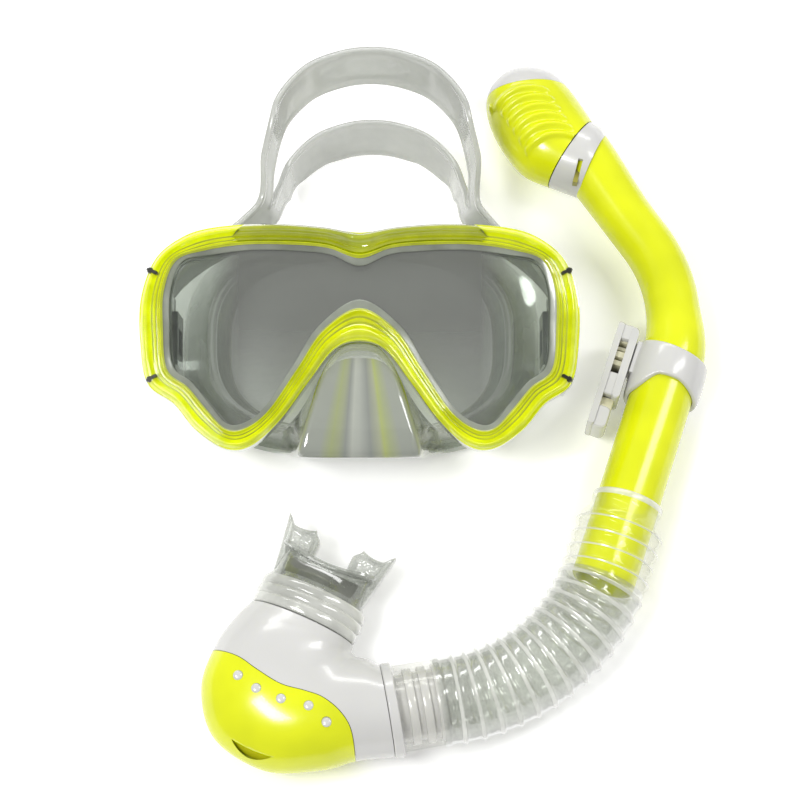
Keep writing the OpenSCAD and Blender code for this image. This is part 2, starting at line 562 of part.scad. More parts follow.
// A tube over rows of [distance, half width, half height], open at both ends
function row_past(rows, r) = r == rows[0] ? -0.5 : r == rows[len(rows) - 1] ? 0.5 : 0;
module oval_tube(rows, wall) difference() {
    skin([for (r = rows) oval(r[0], r[1], r[2])]);
    skin([for (r = rows) oval(r[0] + row_past(rows, r), r[1] - wall, r[2] - wall)]);
}
sleeve_t = 1.6;
sleeve_a = lip_a + gap + sleeve_t;
sleeve_b = lip_b + gap + sleeve_t;
mouth_rows = [
    [0.4, sleeve_a, sleeve_b], [12, sleeve_a, sleeve_b],
    [14.5, 18.8, 12.5], [18.5, 18.2, 9.5], [24, 17.5, 7.5]
];
shield_r = 60;              // radius of the lip shield, which follows the curve of the teeth
shield_turn = 42;
shield_z = 21;
shield_t = 2.2;
tab_size = [8, 14, 15];     // thickness, width and length of a bite tab
tab_y = 14.6;
module lip_shield() difference() {
    translate([0, 0, shield_z + shield_r]) rotate([0, -90, 0]) rotate([0, 0, 180 - shield_turn / 2])
        rotate_extrude(angle = shield_turn)
            translate([shield_r - shield_t, 0]) square([shield_t, 22], center = true);
    skin([oval(10, 15.9, 5.9), oval(40, 15.9, 5.9)]);
}
// A plate between the teeth, with a pocket in its upper and lower faces
module bite_tab() difference() {
    translate([0, 0, tab_size.z / 2]) cube(tab_size, center = true);
    for (s = [-1, 1]) translate([s * tab_size.x / 2, 0, tab_size.z / 2 + 1])
        cube([4, tab_size.y - 5, tab_size.z - 6], center = true);
}
module mouthpiece() color(clear) moulding() at_port() union() {
    oval_tube(mouth_rows, sleeve_t);
    lip_shield();
    for (s = [-1, 1]) translate([0, s * tab_y, shield_z + 1]) bite_tab();
}
module clamp_oval(ends, t) skin([for (z = ends) oval(z, sleeve_a + t, sleeve_b + t)]);
module mouthpiece_clamp() color(white) moulding() at_port()
    difference() { clamp_oval([5, 8.4], 1.3); clamp_oval([4, 9.4], gap); }

front_bezel();
rear_frame();
bezel_clips();
lens();
silicone_skirt();
pivot_pin(1);  // left_pivot_pin
pivot_pin(-1);  // right_pivot_pin
buckle(1);  // left_buckle
buckle(-1);  // right_buckle
strap_roller(1);  // left_strap_roller
strap_roller(-1);  // right_strap_roller
lever_pin(1);  // left_lever_pin
lever_pin(-1);  // right_lever_pin
release_lever(1);  // left_release_lever
release_lever(-1);  // right_release_lever
head_strap();
snorkel_tube();
top_collar();
splash_cap();
cap_back();
float_cage();
float_valve();
float_seal();
keeper_ring();
keeper_clip();
flex_hose();
hose_spigot();
purge_housing();
purge_cover();
valve_seat();
purge_valve();
mouthpiece();
mouthpiece_clamp();
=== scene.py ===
"""Looks of the snorkel mask set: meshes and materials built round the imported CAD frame.

Shapes are worked out in millimetres, in the CAD model's own frame, and become metres when a mesh is made.
A shape is a pair (points, faces).
"""
import math

import bmesh
import bpy
import numpy as np
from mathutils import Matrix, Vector


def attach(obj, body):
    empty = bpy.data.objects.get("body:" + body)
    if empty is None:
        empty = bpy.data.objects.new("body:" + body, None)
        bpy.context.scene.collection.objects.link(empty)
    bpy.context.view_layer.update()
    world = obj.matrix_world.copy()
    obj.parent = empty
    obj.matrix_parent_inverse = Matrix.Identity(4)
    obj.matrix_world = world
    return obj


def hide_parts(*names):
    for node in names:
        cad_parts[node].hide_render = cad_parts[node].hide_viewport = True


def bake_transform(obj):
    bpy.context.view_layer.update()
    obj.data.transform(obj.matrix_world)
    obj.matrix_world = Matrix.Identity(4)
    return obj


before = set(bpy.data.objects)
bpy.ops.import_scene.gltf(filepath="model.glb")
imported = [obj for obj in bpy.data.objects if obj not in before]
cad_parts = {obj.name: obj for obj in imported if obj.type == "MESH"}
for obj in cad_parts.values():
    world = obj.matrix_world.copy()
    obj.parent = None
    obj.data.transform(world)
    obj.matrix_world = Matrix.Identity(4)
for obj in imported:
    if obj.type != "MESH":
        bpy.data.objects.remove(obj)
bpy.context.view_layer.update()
MM = 0.001


# ------------------------------------------------------------------ curves and meshes
def smooth(t):
    t = np.clip(t, 0, 1)
    return t * t * (3 - 2 * t)


def lerp(a, b, f):
    return a + (b - a) * f


def unit(v):
    v = np.asarray(v, float)
    return v / np.maximum(np.linalg.norm(v, axis=-1, keepdims=True), 1e-9)


def turn_by(n):
    """Angles of n stations round a circle."""
    return np.linspace(0, 2 * np.pi, n, endpoint=False)


def catmull(points, steps, closed=False):
    """Points on a Catmull-Rom curve through the given ones, with steps points to a span."""
    p = np.asarray(points, float)
    n = len(p)
    t = (np.arange(steps) / steps)[:, None]
    out = []
    for i in range(n if closed else n - 1):
        near = [p[k % n] if closed else p[min(max(k, 0), n - 1)] for k in range(i - 1, i + 3)]
        a, b, c, d = (q.reshape(1, -1) for q in near)
        curve = 2 * b + (c - a) * t + (2 * a - 5 * b + 4 * c - d) * t**2 + (3 * b - a - 3 * c + d) * t**3
        out.append(0.5 * curve)
    if not closed:
        out.append(p[-1].reshape(1, -1))
    return np.concatenate(out).reshape((-1,) + p.shape[1:])


def grid_faces(m, n, loop_m=False, loop_n=True, keep=None):
    """Quads of an m by n grid of points. keep picks the cells to make."""
    faces = []
    for k in range(m if loop_m else m - 1):
        for i in range(n if loop_n else n - 1):
            if keep is None or keep[k, i]:
                row, above, ahead_i = k * n, ((k + 1) % m) * n, (i + 1) % n
                faces.append((row + i, row + ahead_i, above + ahead_i, above + i))
    return faces


def skin(rings, loop=False):
    """A closed form over rings of points. With loop the last ring meets the first."""
    rings = np.asarray(rings, float)
    m, n = rings.shape[:2]
    faces = grid_faces(m, n, loop)
    if not loop:
        faces += [tuple(range(n - 1, -1, -1)), tuple((m - 1) * n + i for i in range(n))]
    return rings.reshape(-1, 3), faces


def placed(shape, place):
    """A shape with its points moved by a placing function."""
    return place(shape[0]), shape[1]


def thick_sheet(points, normals, thick, keep=None):
    """A closed sheet over a grid of middle points, with its own thickness at each point."""
    m, n = points.shape[:2]
    half = normals * thick[..., None] / 2
    top = grid_faces(m, n, loop_n=False, keep=keep)
    count = m * n
    edges = {(a, b): True for f in top for a, b in zip(f, f[1:] + f[:1])}
    faces = top + [tuple(v + count for v in reversed(f)) for f in top]
    faces += [(b, a, a + count, b + count) for a, b in edges if (b, a) not in edges]
    return np.concatenate([(points + half).reshape(-1, 3), (points - half).reshape(-1, 3)]), faces


def merged(shapes):
    """Several shapes as one."""
    verts, faces, at = [], [], 0
    for v, f in shapes:
        verts.append(np.asarray(v, float))
        faces += [tuple(k + at for k in face) for face in f]
        at += len(v)
    return np.concatenate(verts), faces


def with_height(plan, z):
    return np.column_stack([plan, np.full(len(plan), z)])


def prism(outline, z0, z1):
    """A closed prism over a plan outline, between two heights."""
    return skin([with_height(np.asarray(outline, float), z) for z in (z0, z1)])


def circle(r, n=48, centre=(0, 0)):
    a = turn_by(n)
    return np.column_stack([centre[0] + r * np.cos(a), centre[1] + r * np.sin(a)])


def rounded_plan(w, h, r, steps=6, centre=(0, 0)):
    """Outline of a w by h rectangle with corners of radius r."""
    out = []
    for k, (sx, sy) in enumerate([(1, 1), (-1, 1), (-1, -1), (1, -1)]):
        corner = np.array([centre[0] + sx * (w / 2 - r), centre[1] + sy * (h / 2 - r)])
        for j in range(steps + 1):
            a = (k + j / steps) * np.pi / 2
            out.append(corner + r * np.array([np.cos(a), np.sin(a)]))
    return np.array(out)


def box_shape(low, high, place):
    """A box between two corners, put in place by a function."""
    x, y, z = zip(low, high)
    corners = [(x[i], y[j], z[k]) for k in (0, 1) for j in (0, 1) for i in (0, 1)]
    faces = [(0, 2, 3, 1), (4, 5, 7, 6), (0, 1, 5, 4), (2, 6, 7, 3), (0, 4, 6, 2), (1, 3, 7, 5)]
    return place(np.array(corners, float)), faces


# ------------------------------------------------------------------ pieces
def mesh_of(name, shape, edit=None):
    """A mesh in metres with its faces turned outwards, after an edit of its bmesh."""
    mesh = bpy.data.meshes.new(name)
    mesh.from_pydata((np.asarray(shape[0]) * MM).tolist(), [], shape[1])
    mesh.validate()
    work = bmesh.new()
    work.from_mesh(mesh)
    loose = [v for v in work.verts if not v.link_faces]
    bmesh.ops.delete(work, geom=loose, context="VERTS")
    bmesh.ops.recalc_face_normals(work, faces=work.faces)
    if edit:
        edit(work)
    work.to_mesh(mesh)
    work.free()
    return mesh


def shown(name, mesh):
    obj = bpy.data.objects.new(name, mesh)
    bpy.context.scene.collection.objects.link(obj)
    return obj


def smooth_faces(mesh, angle=None):
    """Shades a mesh smooth, but for its edges sharper than an angle in degrees."""
    mesh.polygons.foreach_set("use_smooth", [True] * len(mesh.polygons))
    if angle is not None:
        mesh.set_sharp_from_angle(angle=math.radians(angle))


def round_edges(obj, width, segments, angle):
    m = obj.modifiers.new("edges", "BEVEL")
    m.width, m.segments, m.limit_method, m.angle_limit = width * MM, segments, "ANGLE", math.radians(angle)
    return m


def piece(name, shape, materials, body, replaces=(), angle=38, bevel=0.0):
    """A shown mesh riding on a CAD body, in one material or a list of them."""
    obj = shown(name, mesh_of(name, shape))
    for m in materials if isinstance(materials, list) else [materials]:
        obj.data.materials.append(m)
    smooth_faces(obj.data, angle)
    if bevel:
        round_edges(obj, bevel, 2, 35).harden_normals = True
    if body:
        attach(obj, body)
    if replaces:
        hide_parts(*replaces)
    return obj


def carve(obj, cutters, operation="DIFFERENCE", angle=38):
    """Cuts closed shapes out of a piece, or keeps what lies in them, and applies it."""
    for shape in cutters:
        tool = shown("cutter", mesh_of("cutter", shape))
        m = obj.modifiers.new("carve", "BOOLEAN")
        m.operation, m.solver, m.object = operation, "EXACT", tool
        bpy.context.view_layer.update()
        done = bpy.data.meshes.new_from_object(obj.evaluated_get(bpy.context.evaluated_depsgraph_get()))
        obj.modifiers.remove(m)
        obj.data = done
        bpy.data.objects.remove(tool)
    smooth_faces(obj.data, angle)


# ------------------------------------------------------------------ materials
def put(tree, kind, inputs=None, **settings):
    """Adds a shader node. Each input is a value, or another node's output that feeds it."""
    node = tree.nodes.new("ShaderNode" + kind)
    for key, value in settings.items():
        setattr(node, key, value)
    for key, value in (inputs or {}).items():
        if isinstance(value, bpy.types.NodeSocket):
            tree.links.new(value, node.inputs[key])
        else:
            node.inputs[key].default_value = value
    return node


def calc(tree, operation, *values, **settings):
    return put(tree, "Math", dict(enumerate(values)), operation=operation, **settings).outputs["Value"]


def noise(tree, scale, detail, stretch=(1, 1, 1)):
    """A noise over the object's own place, in 1/metre."""
    where = put(tree, "TexCoord").outputs["Object"]
    turn = put(tree, "Mapping", {"Vector": where, "Scale": stretch}).outputs["Vector"]
    return put(tree, "TexNoise", {"Vector": turn, "Scale": scale, "Detail": detail}).outputs["Fac"]


def ramp(tree, value, stops):
    """A colour ramp of (position, colour) stops driven by a value."""
    node = put(tree, "ValToRGB", {"Fac": value})
    while len(node.color_ramp.elements) < len(stops):
        node.color_ramp.elements.new(0.5)
    for element, (at, colour) in zip(node.color_ramp.elements, stops):
        element.position = at
        element.color = (*colour, 1)
    return node.outputs["Color"]


def rescale(tree, value, low, high, from_low=0.0, from_high=1.0):
    ends = {"From Min": from_low, "From Max": from_high, "To Min": low, "To Max": high}
    return put(tree, "MapRange", {"Value": value, **ends}).outputs["Result"]


def bump(tree, height, strength, distance):
    inputs = {"Height": height, "Strength": strength, "Distance": distance * MM}
    return put(tree, "Bump", inputs).outputs["Normal"]


def front_only(tree, value, keep=0.15):
    """Fades a value on faces seen from behind, so that a clear wall shows its near side only."""
    side = put(tree, "NewGeometry").outputs["Backfacing"]
    return calc(tree, "MULTIPLY", value, rescale(tree, side, 1, keep), use_clamp=True)


def across_part(tree):
    """The object's own place, as x and y."""
    parts = put(tree, "SeparateXYZ", {"Vector": put(tree, "TexCoord").outputs["Object"]})
    return parts.outputs["X"], parts.outputs["Y"]


def new_material(name):
    m = bpy.data.materials.new(name)
    m.use_nodes = True
    m.node_tree.nodes.clear()
    return m, m.node_tree


NOISE_LOW, NOISE_HIGH = 0.3, 0.7      # between these lies most of a noise


def moulded(name, dark, bright, rough=0.22, coat=0.5, grain=0.25, subsurface=0.0, metallic=0.0):
    """Moulded plastic: slow colour drift, fine scuffs in the gloss and a faint orange-peel surface."""
    m, tree = new_material(name)
    scuff = noise(tree, 900, 4, (1, 0.35, 1))
    plastic = put(tree, "BsdfPrincipled", {
        "Base Color": ramp(tree, noise(tree, 38, 2), [(NOISE_LOW, dark), (NOISE_HIGH, bright)]),
        "Roughness": rescale(tree, scuff, rough * 0.92, rough * 1.12, NOISE_LOW, NOISE_HIGH),
        "Normal": bump(tree, noise(tree, 420, 2), grain, 0.05),
        "Metallic": metallic, "Coat Weight": coat, "Coat Roughness": 0.06,
    })
    if subsurface:
        plastic.inputs["Subsurface Weight"].default_value = subsurface
        plastic.inputs["Subsurface Radius"].default_value = (1, 1, 0.6)
        plastic.inputs["Subsurface Scale"].default_value = 3 * MM
    put(tree, "OutputMaterial", {"Surface": plastic.outputs["BSDF"]})
    return m


def see_through(name, tint, body, face, edge, rough=0.1, gloss=0.5, cloud=0.12, cloud_scale=60,
                grain=0.25, power=0.35, ripple=300):
    """A clear moulding: what lies behind shows through a tint, less so where it is seen edge on.

    face and edge say how much of its own milky colour, body, is seen flat on and edge on."""
    m, tree = new_material(name)
    clouds = noise(tree, cloud_scale, 4)
    shade = [(NOISE_LOW, tuple(0.82 * c for c in body)), (NOISE_HIGH, body)]
    normal = bump(tree, noise(tree, ripple, 2), grain, 0.1)
    own = put(tree, "BsdfPrincipled", {"Base Color": ramp(tree, clouds, shade), "Roughness": rough,
                                       "Coat Weight": 0.4, "Normal": normal})
    through = put(tree, "BsdfTransparent", {"Color": (*tint, 1)})
    facing = put(tree, "LayerWeight", {"Blend": power}).outputs["Facing"]
    solid = calc(tree, "ADD", rescale(tree, facing, face, edge),
                 rescale(tree, clouds, -cloud, cloud, NOISE_LOW, NOISE_HIGH), name="solid", use_clamp=True)
    mix = put(tree, "MixShader", {"Fac": front_only(tree, solid), 1: through.outputs["BSDF"],
                                  2: own.outputs["BSDF"]})
    shine = put(tree, "BsdfGlossy", {"Roughness": rough * 0.6, "Normal": normal})
    weight = put(tree, "Fresnel", {"IOR": 1.45}).outputs["Fac"]
    amount = calc(tree, "MULTIPLY", weight, gloss * 2, use_clamp=True)
    top = put(tree, "MixShader", {"Fac": front_only(tree, amount), 1: mix.outputs["Shader"],
                                  2: shine.outputs["BSDF"]})
    put(tree, "OutputMaterial", {"Surface": top.outputs["Shader"]})
    return m


def paint_shade_in_middle(material, reach, amount):
    """Paints shade on a clear moulding: its own dark grey is drawn more thickly within reach of its middle,
    and less so low down.
    """
    tree = material.node_tree
    x, y = across_part(tree)
    middle = rescale(tree, calc(tree, "ABSOLUTE", x), amount, 0, reach - 0.006, reach + 0.006)
    # painted shade, strongest near the middle and weaker low down
    painted_shade = calc(tree, "MULTIPLY", middle, rescale(tree, y, 0.45, 1, -0.024, 0.006))
    tree.links.new(painted_shade, tree.nodes["solid"].inputs[1])


def paint_nose_facet_light(material):
    """Paints light and shade into the nose pocket's colour, as facets that fan out downwards: grey, pale
    edges that are painted highlights, darker facets that are painted shade, and two lime streaks.
    """
    tree = material.node_tree
    x, y = across_part(tree)
    half_width = rescale(tree, y, 0.026, 0.0118, -0.046, -0.006)
    along = rescale(tree, calc(tree, "DIVIDE", x, half_width), 0, 1, -1.1, 1.1)
    # Painted light: the dark stops are painted shade on facets, the pale ones painted highlights along
    # their edges.
    grey, dark, pale = (0.29, 0.31, 0.27), (0.23, 0.245, 0.225), (0.4, 0.42, 0.37)
    colour = ramp(tree, along, [
        (0.03, grey), (0.055, pale), (0.08, grey), (0.22, grey), (0.3, (0.31, 0.35, 0.16)),
        (0.35, (0.3, 0.33, 0.2)), (0.4, dark), (0.45, pale), (0.5, (0.36, 0.38, 0.34)), (0.58, dark),
        (0.65, (0.33, 0.35, 0.24)), (0.68, (0.36, 0.41, 0.13)), (0.72, (0.32, 0.36, 0.18)), (0.8, grey),
        (0.92, grey), (0.945, pale), (0.97, grey),
    ])
    for node in tree.nodes:
        if node.type == "BSDF_PRINCIPLED":
            tree.links.new(colour, node.inputs["Base Color"])


mat_lime = moulded("lime_gloss", (0.60, 0.65, 0.003), (0.73, 0.78, 0.004), rough=0.2, coat=0.22,
                   subsurface=0.12)
mat_white = moulded("white_gloss", (0.55, 0.55, 0.535), (0.58, 0.58, 0.565), rough=0.24, coat=0.35,
                    grain=0.04, subsurface=0.1)
mat_cream = moulded("cream_inner", (0.55, 0.53, 0.36), (0.66, 0.64, 0.47), rough=0.3, coat=0.3)
mat_smoke = moulded("smoked_plastic", (0.008, 0.016, 0.024), (0.02, 0.034, 0.046), rough=0.16, coat=0.6)
# The latches' own black; also used as painted shade low in the clip's windows.
mat_black = moulded("dark_latch", (0.006, 0.007, 0.004), (0.02, 0.021, 0.012), rough=0.22, coat=0.5)
mat_steel = moulded("satin_steel", (0.42, 0.44, 0.46), (0.58, 0.6, 0.62), rough=0.28, coat=0.0,
                    metallic=1.0)
mat_orange = moulded("float_orange", (0.7, 0.2, 0.02), (0.8, 0.28, 0.03), rough=0.3)
# Olive lime seen through the leaf slit: partly the inside's own lime, partly painted shade.
mat_leaf = moulded("leaf_floor_lime_and_shade", (0.5, 0.5, 0.01), (0.62, 0.62, 0.014), rough=0.4, coat=0.1)
# Dark lime: painted shade for the inside of the collar's slot.
mat_painted_slot_shade = moulded("slot_shade_paint", (0.22, 0.2, 0.02), (0.3, 0.28, 0.03), rough=0.4, coat=0.1)
mat_bezel = see_through("lime_clear", (0.86, 0.95, 0.02), (0.88, 0.95, 0.004), 0.66, 0.97, rough=0.05,
                        gloss=0.9, cloud=0.08, cloud_scale=90)
# On the brow inlay this is that piece's own darker lime; in the bezel's channel it is painted shade.
mat_olive = see_through("lime_inlay", (0.6, 0.66, 0.02), (0.5, 0.55, 0.004), 0.66, 0.95, rough=0.07,
                        gloss=1.2)
mat_lens = see_through("lens_glass", (0.83, 0.85, 0.83), (0.125, 0.13, 0.12), 0.05, 0.5, rough=0.02,
                       gloss=0.8, cloud=0.04, cloud_scale=14, grain=0.0)
# Painted shade: the lens's own dark grey is thickened over its middle, where the inside of the mask lies in
# shade.
paint_shade_in_middle(mat_lens, 0.052, 0.8)
mat_frost = see_through("frosted_lip", (0.6, 0.63, 0.57), (0.36, 0.39, 0.33), 0.6, 0.92, rough=0.3)
mat_nose = see_through("nose_silicone", (0.5, 0.52, 0.49), (0.3, 0.31, 0.29), 0.82, 0.97, rough=0.12,
                       gloss=1.0, cloud=0.04, cloud_scale=70, grain=0.5)
# Painted light and shade on the nose pocket's facets.
paint_nose_facet_light(mat_nose)
mat_skirt = see_through("skirt_silicone", (0.88, 0.9, 0.87), (0.66, 0.68, 0.64), 0.2, 0.8, rough=0.1,
                        gloss=1.2, cloud=0.08, cloud_scale=45)
mat_strap = see_through("strap_silicone", (0.88, 0.89, 0.87), (0.35, 0.36, 0.335), 0.6, 0.95, rough=0.2,
                        gloss=0.6, cloud=0.03, cloud_scale=55, grain=0.1)
mat_hose = see_through("hose_clear", (0.94, 0.95, 0.93), (0.46, 0.47, 0.43), 0.12, 0.66, rough=0.07,
                       gloss=1.3, cloud=0.16, cloud_scale=260, grain=0.7, ripple=500)
mat_hose_end = see_through("hose_end_clear", (1.0, 1.0, 0.99), (0.8, 0.81, 0.77), 0.0, 0.2, rough=0.07,
                           gloss=0.35, cloud=0.01, cloud_scale=190, grain=0.3, power=0.2, ripple=500)
mat_rib = see_through("hose_rib", (0.95, 0.96, 0.94), (0.76, 0.77, 0.72), 0.6, 0.95, rough=0.12, gloss=0.8)
mat_mouth = see_through("mouth_silicone", (0.86, 0.87, 0.85), (0.42, 0.44, 0.4), 0.4, 0.92, rough=0.1,
                        gloss=1.0, cloud=0.14, cloud_scale=160, grain=0.5)
# Painted shade for the neck's broad faces, where its inside lies in shade.
mat_neck_shade = see_through("neck_painted_shade", (0.5, 0.52, 0.49), (0.19, 0.20, 0.17), 0.7, 0.9, gloss=0.9)
mat_lever = see_through("lever_clear", (0.9, 0.91, 0.9), (0.4, 0.42, 0.42), 0.12, 0.6)


# ------------------------------------------------------------------ mask
LENS_H, LENS_TILT, LENS_T = 50, math.radians(14), 3.4


def on_table(p):
    """From the mask's own frame (x across, y up the face, z out of the lens) to the table's."""
    p = np.asarray(p, float)
    y = p[..., 1] * math.cos(LENS_TILT) - p[..., 2] * math.sin(LENS_TILT)
    z = p[..., 1] * math.sin(LENS_TILT) + p[..., 2] * math.cos(LENS_TILT) + LENS_H
    return np.stack([p[..., 0], y, z], -1)


def rotate_only(v):
    return on_table(v) - on_table(np.zeros(3))


INNER_HALF = [
    [0, 30.3], [12, 34.2], [25, 35.5], [44, 35.6], [60, 33.2], [70.5, 29.3], [75, 18], [75.3, 4],
    [73.6, -12.5], [65.5, -19.5], [58, -28.5], [51, -35.3], [44, -35.2], [35, -28.4], [24, -12.2],
    [14.2, 2.4], [0, 11],
]
OUTER_HALF = [
    [0, 40.6], [15, 42.8], [36, 44], [57, 42.4], [69, 38.4], [79, 29.5], [84.2, 14], [84, -4],
    [81, -18.5], [71, -26], [62.5, -36], [51, -43.3], [41, -42], [30, -32], [19, -17],
    [9.6, -5], [0, -1.7],
]
RIM_STEPS = 10


def whole(half):
    """Both halves of an outline given by its half with x above 0."""
    return half + [[-x, y] for x, y in half[-2:0:-1]]


inner_rim = catmull(whole(INNER_HALF), RIM_STEPS, True)
outer_rim = catmull(whole(OUTER_HALF), RIM_STEPS, True)
RIM_N = len(inner_rim)
rim_share = np.arange(RIM_N) / RIM_N      # 0 at the brow notch, 0.5 at the nose


def rim(f):
    """The outline a share f of the way from the frame's inner edge to its outer edge."""
    return inner_rim + (outer_rim - inner_rim) * f


def rim_rings(profile):
    """Rings round the rim over a profile of (share, height)."""
    return [with_height(rim(f), z) for f, z in profile]


SEAT_FRONT, SEAT_BACK, SEAT_IN, SEAT_OUT, LENS_EDGE = 1.2, -LENS_T - 2.2, -0.27, 0.42, 0.3
FRAME_BACK = SEAT_BACK - 4.6


def bezel_top(f):
    """Height of the bezel above the lens at a share f of its width: an inner bead, a channel with a
    fine line in it and a broad outer bead."""
    bead_in = 2.1 * np.exp(-(((f - 0.1) / 0.07) ** 2))
    bead_out = 2.3 * np.exp(-(((f - 0.72) / 0.17) ** 2))
    line = 0.55 * np.exp(-(((f - 0.36) / 0.035) ** 2))
    return 1.75 + bead_in + bead_out + line - 0.9 * smooth((f - 0.86) / 0.14)


def bezel():
    """The clear lime front of the frame, with painted shade as a darker line on either side of its channel.
    """
    shares = np.concatenate([np.linspace(0.0, 0.5, 24), np.linspace(0.53, 0.93, 14)])
    front = [(f, bezel_top(f)) for f in shares]
    edge = [(0.965, 1.9), (0.99, 1.1), (1.0, 0.2), (1.0, -2.0), (1.0, -5.0), (1.0, SEAT_BACK - 1.7)]
    back = [(0.97, SEAT_BACK - 2.2), (0.7, SEAT_BACK - 2.2), (0.66, SEAT_BACK - 1.8),
            (0.66, SEAT_BACK - 0.2), (0.5, SEAT_BACK), (0.5, SEAT_FRONT + 0.15), (0.0, SEAT_FRONT + 0.15)]
    rings = on_table(np.stack(rim_rings(front + edge + back), 1))
    obj = piece("front_bezel_shell", skin(rings, True), [mat_bezel, mat_olive], "mask",
                ["front_bezel"], 50)
    # Painted shade: the rows either side of the channel's fine line take the darker inlay material.
    channel_shade_rows = {i for i, f in enumerate(shares) if 0.22 < f < 0.29 or 0.41 < f < 0.47}
    for poly in obj.data.polygons:
        poly.material_index = 1 if poly.index % rings.shape[1] in channel_shade_rows else 0


INLAY_HALF, INLAY_T = 49, 1.3      # half the inlay's length at its chevron tips


def brow_inlay():
    """The darker see-through inlay on the brow, with chevron ends and a V in the middle."""
    middle = rim(0.5)
    stations = [i for i in range(RIM_N) if middle[i, 1] > 20 and abs(middle[i, 0]) < INLAY_HALF + 4]
    stations = sorted(stations, key=lambda i: middle[i, 0])
    f = np.linspace(0.2, 0.97, 15)
    xy = inner_rim[stations][:, None] + (outer_rim - inner_rim)[stations][:, None] * f[:, None]
    end = INLAY_HALF - 4.5 * abs(f - 0.45) / 0.5
    x = np.clip(xy[..., 0], -end, end)
    lift = 0.35 + 0.45 * smooth((0.6 - abs(f - 0.6)) / 0.4) - 1.2 * smooth((f - 0.9) / 0.07)
    vee = 0.9 * np.exp(-((x / 3.2) ** 2)) * smooth((f - 0.2) / 0.3)
    grid = on_table(np.stack([x, xy[..., 1], bezel_top(np.minimum(f, 0.93)) + lift - vee], -1))
    up = np.broadcast_to(rotate_only([0, 0, 1]), grid.shape)
    shape = thick_sheet(grid, up, np.full(grid.shape[:2], INLAY_T))
    piece("brow_inlay", shape, mat_olive, "mask", (), 30)


# Place and lean in degrees of the two latches on one side, and the (length, width, top, offset) of the
# two wedges that make a latch
LATCHES = [((79.4, 24.9), 24), ((79.2, -16.2), -30)]
WEDGES = [(4.6, 1.5, 4.6, 0), (2.0, 2.4, 4.2, 0.9)]


def latch_shapes():
    """Four dark wedge latches at the ends of the side panels."""
    shapes = []
    for side in (1, -1):
        for centre, lean in LATCHES:
            a = math.radians(lean)
            turn = np.array([[math.cos(a), math.sin(a)], [-math.sin(a), math.cos(a)]])
            for long, wide, top, off in WEDGES:
                plan = (rounded_plan(long, wide, 0.7, 4, (off, 0)) @ turn + centre) * [side, 1]
                middle = plan.mean(0)
                rings = [with_height(plan, FRAME_BACK - 1), with_height(plan, top - 0.5),
                         with_height(middle + (plan - middle) * 0.8, top)]
                shapes.append(placed(skin(rings), on_table))
    return merged(shapes)


# ------------------------------------------------------------------ skirt
WAIST_A, WAIST_B, WAIST_Y, WAIST_Z = 59, 37, 2, -30
SEAL_A, SEAL_B, SEAL_Y, SKIRT_T = 72, 47.5, 3.5, 1.8
NOSE_BOTTOM, NOSE_FRONT, SQUARENESS = -42, 1.5, 2.8
SKIRT_STEPS, WAIST_RINGS = 7, (2.1, 3.3)      # the rings' places are counted in stations of skirt_out


def bend(v, power):
    """A sine or cosine bent so that its oval gets flatter sides the higher the power."""
    return np.sign(v) * np.abs(v) ** (2 / power)


def face_turn(share):
    """Degrees round half the face from the brow, 0, to the nose, 180, at a share of the half outline."""
    return 180 * share + 8 * np.sin(np.pi * share)


def oblong(a, b, cy=WAIST_Y):
    """A rounded oblong whose stations match the rim's."""
    left = rim_share > 0.5
    w = np.radians(90 - face_turn(np.where(left, 1 - rim_share, rim_share) * 2))
    x = np.where(left, -1, 1) * a * bend(np.cos(w), SQUARENESS)
    return np.column_stack([x, cy + b * bend(np.sin(w), SQUARENESS)])


def nose():
    """1 in front of the nose, 0 beside it."""
    q = np.abs(2 * rim_share - 1)
    return smooth((23 - (180 * q - 8 * np.sin(np.pi * q))) / 9)


def table_z(p):
    """Height, in the mask's frame, of the face seal over the table: a little arched across."""
    lean, flat = math.sin(LENS_TILT), math.cos(LENS_TILT)
    return -(LENS_H + p[:, 1] * lean) / flat + 2.5 * (1 - (p[:, 0] / SEAL_A) ** 2) + 0.4


def seal_ring(in_a, in_b, above):
    """A ring of the face seal, moved in at its sides and at its top and bottom, above its lowest line."""
    xy = oblong(SEAL_A - in_a, SEAL_B - in_b, SEAL_Y)
    return np.column_stack([xy, table_z(xy) + above])


def skirt_out(k):
    """The outside of the skirt at station k, from the back of the seat to the edge of the face seal."""
    def side(more_a, more_b, z):
        return with_height(oblong(WAIST_A + more_a, WAIST_B + more_b), z)

    def under_nose(y, widen, z):
        x = oblong(WAIST_A, WAIST_B)[:, 0] * widen
        return np.column_stack([x, np.full(RIM_N, y), np.full(RIM_N, z)])

    seat, neck, over_nose, in_front = rim_rings([(0.0, SEAT_BACK), (-0.1, FRAME_BACK - 1.6),
                                                 (1.16, FRAME_BACK), (1.2, -2)])
    beside, front = [
        (seat, seat), (neck, neck), (side(4, 1, -17), over_nose), (side(1, 0, -24), in_front),
        (side(0, 0, WAIST_Z), under_nose(NOSE_BOTTOM, 1, NOSE_FRONT)),
        (side(4, 5, -36), under_nose(NOSE_BOTTOM - 4, 1.05, -8)), (seal_ring(0, 0, 4),) * 2,
    ][k]
    return lerp(beside, front, nose()[:, None])


# Which way the nose pocket's wall thickens at each station
NOSE_INWARD = [(0, 0.2, -1), (0, 0.2, -1), (0, -1, -0.2), (0, -0.8, -0.8), (0, 0.7, -0.8), (0, 1, 0),
               (0, 1, 0)]
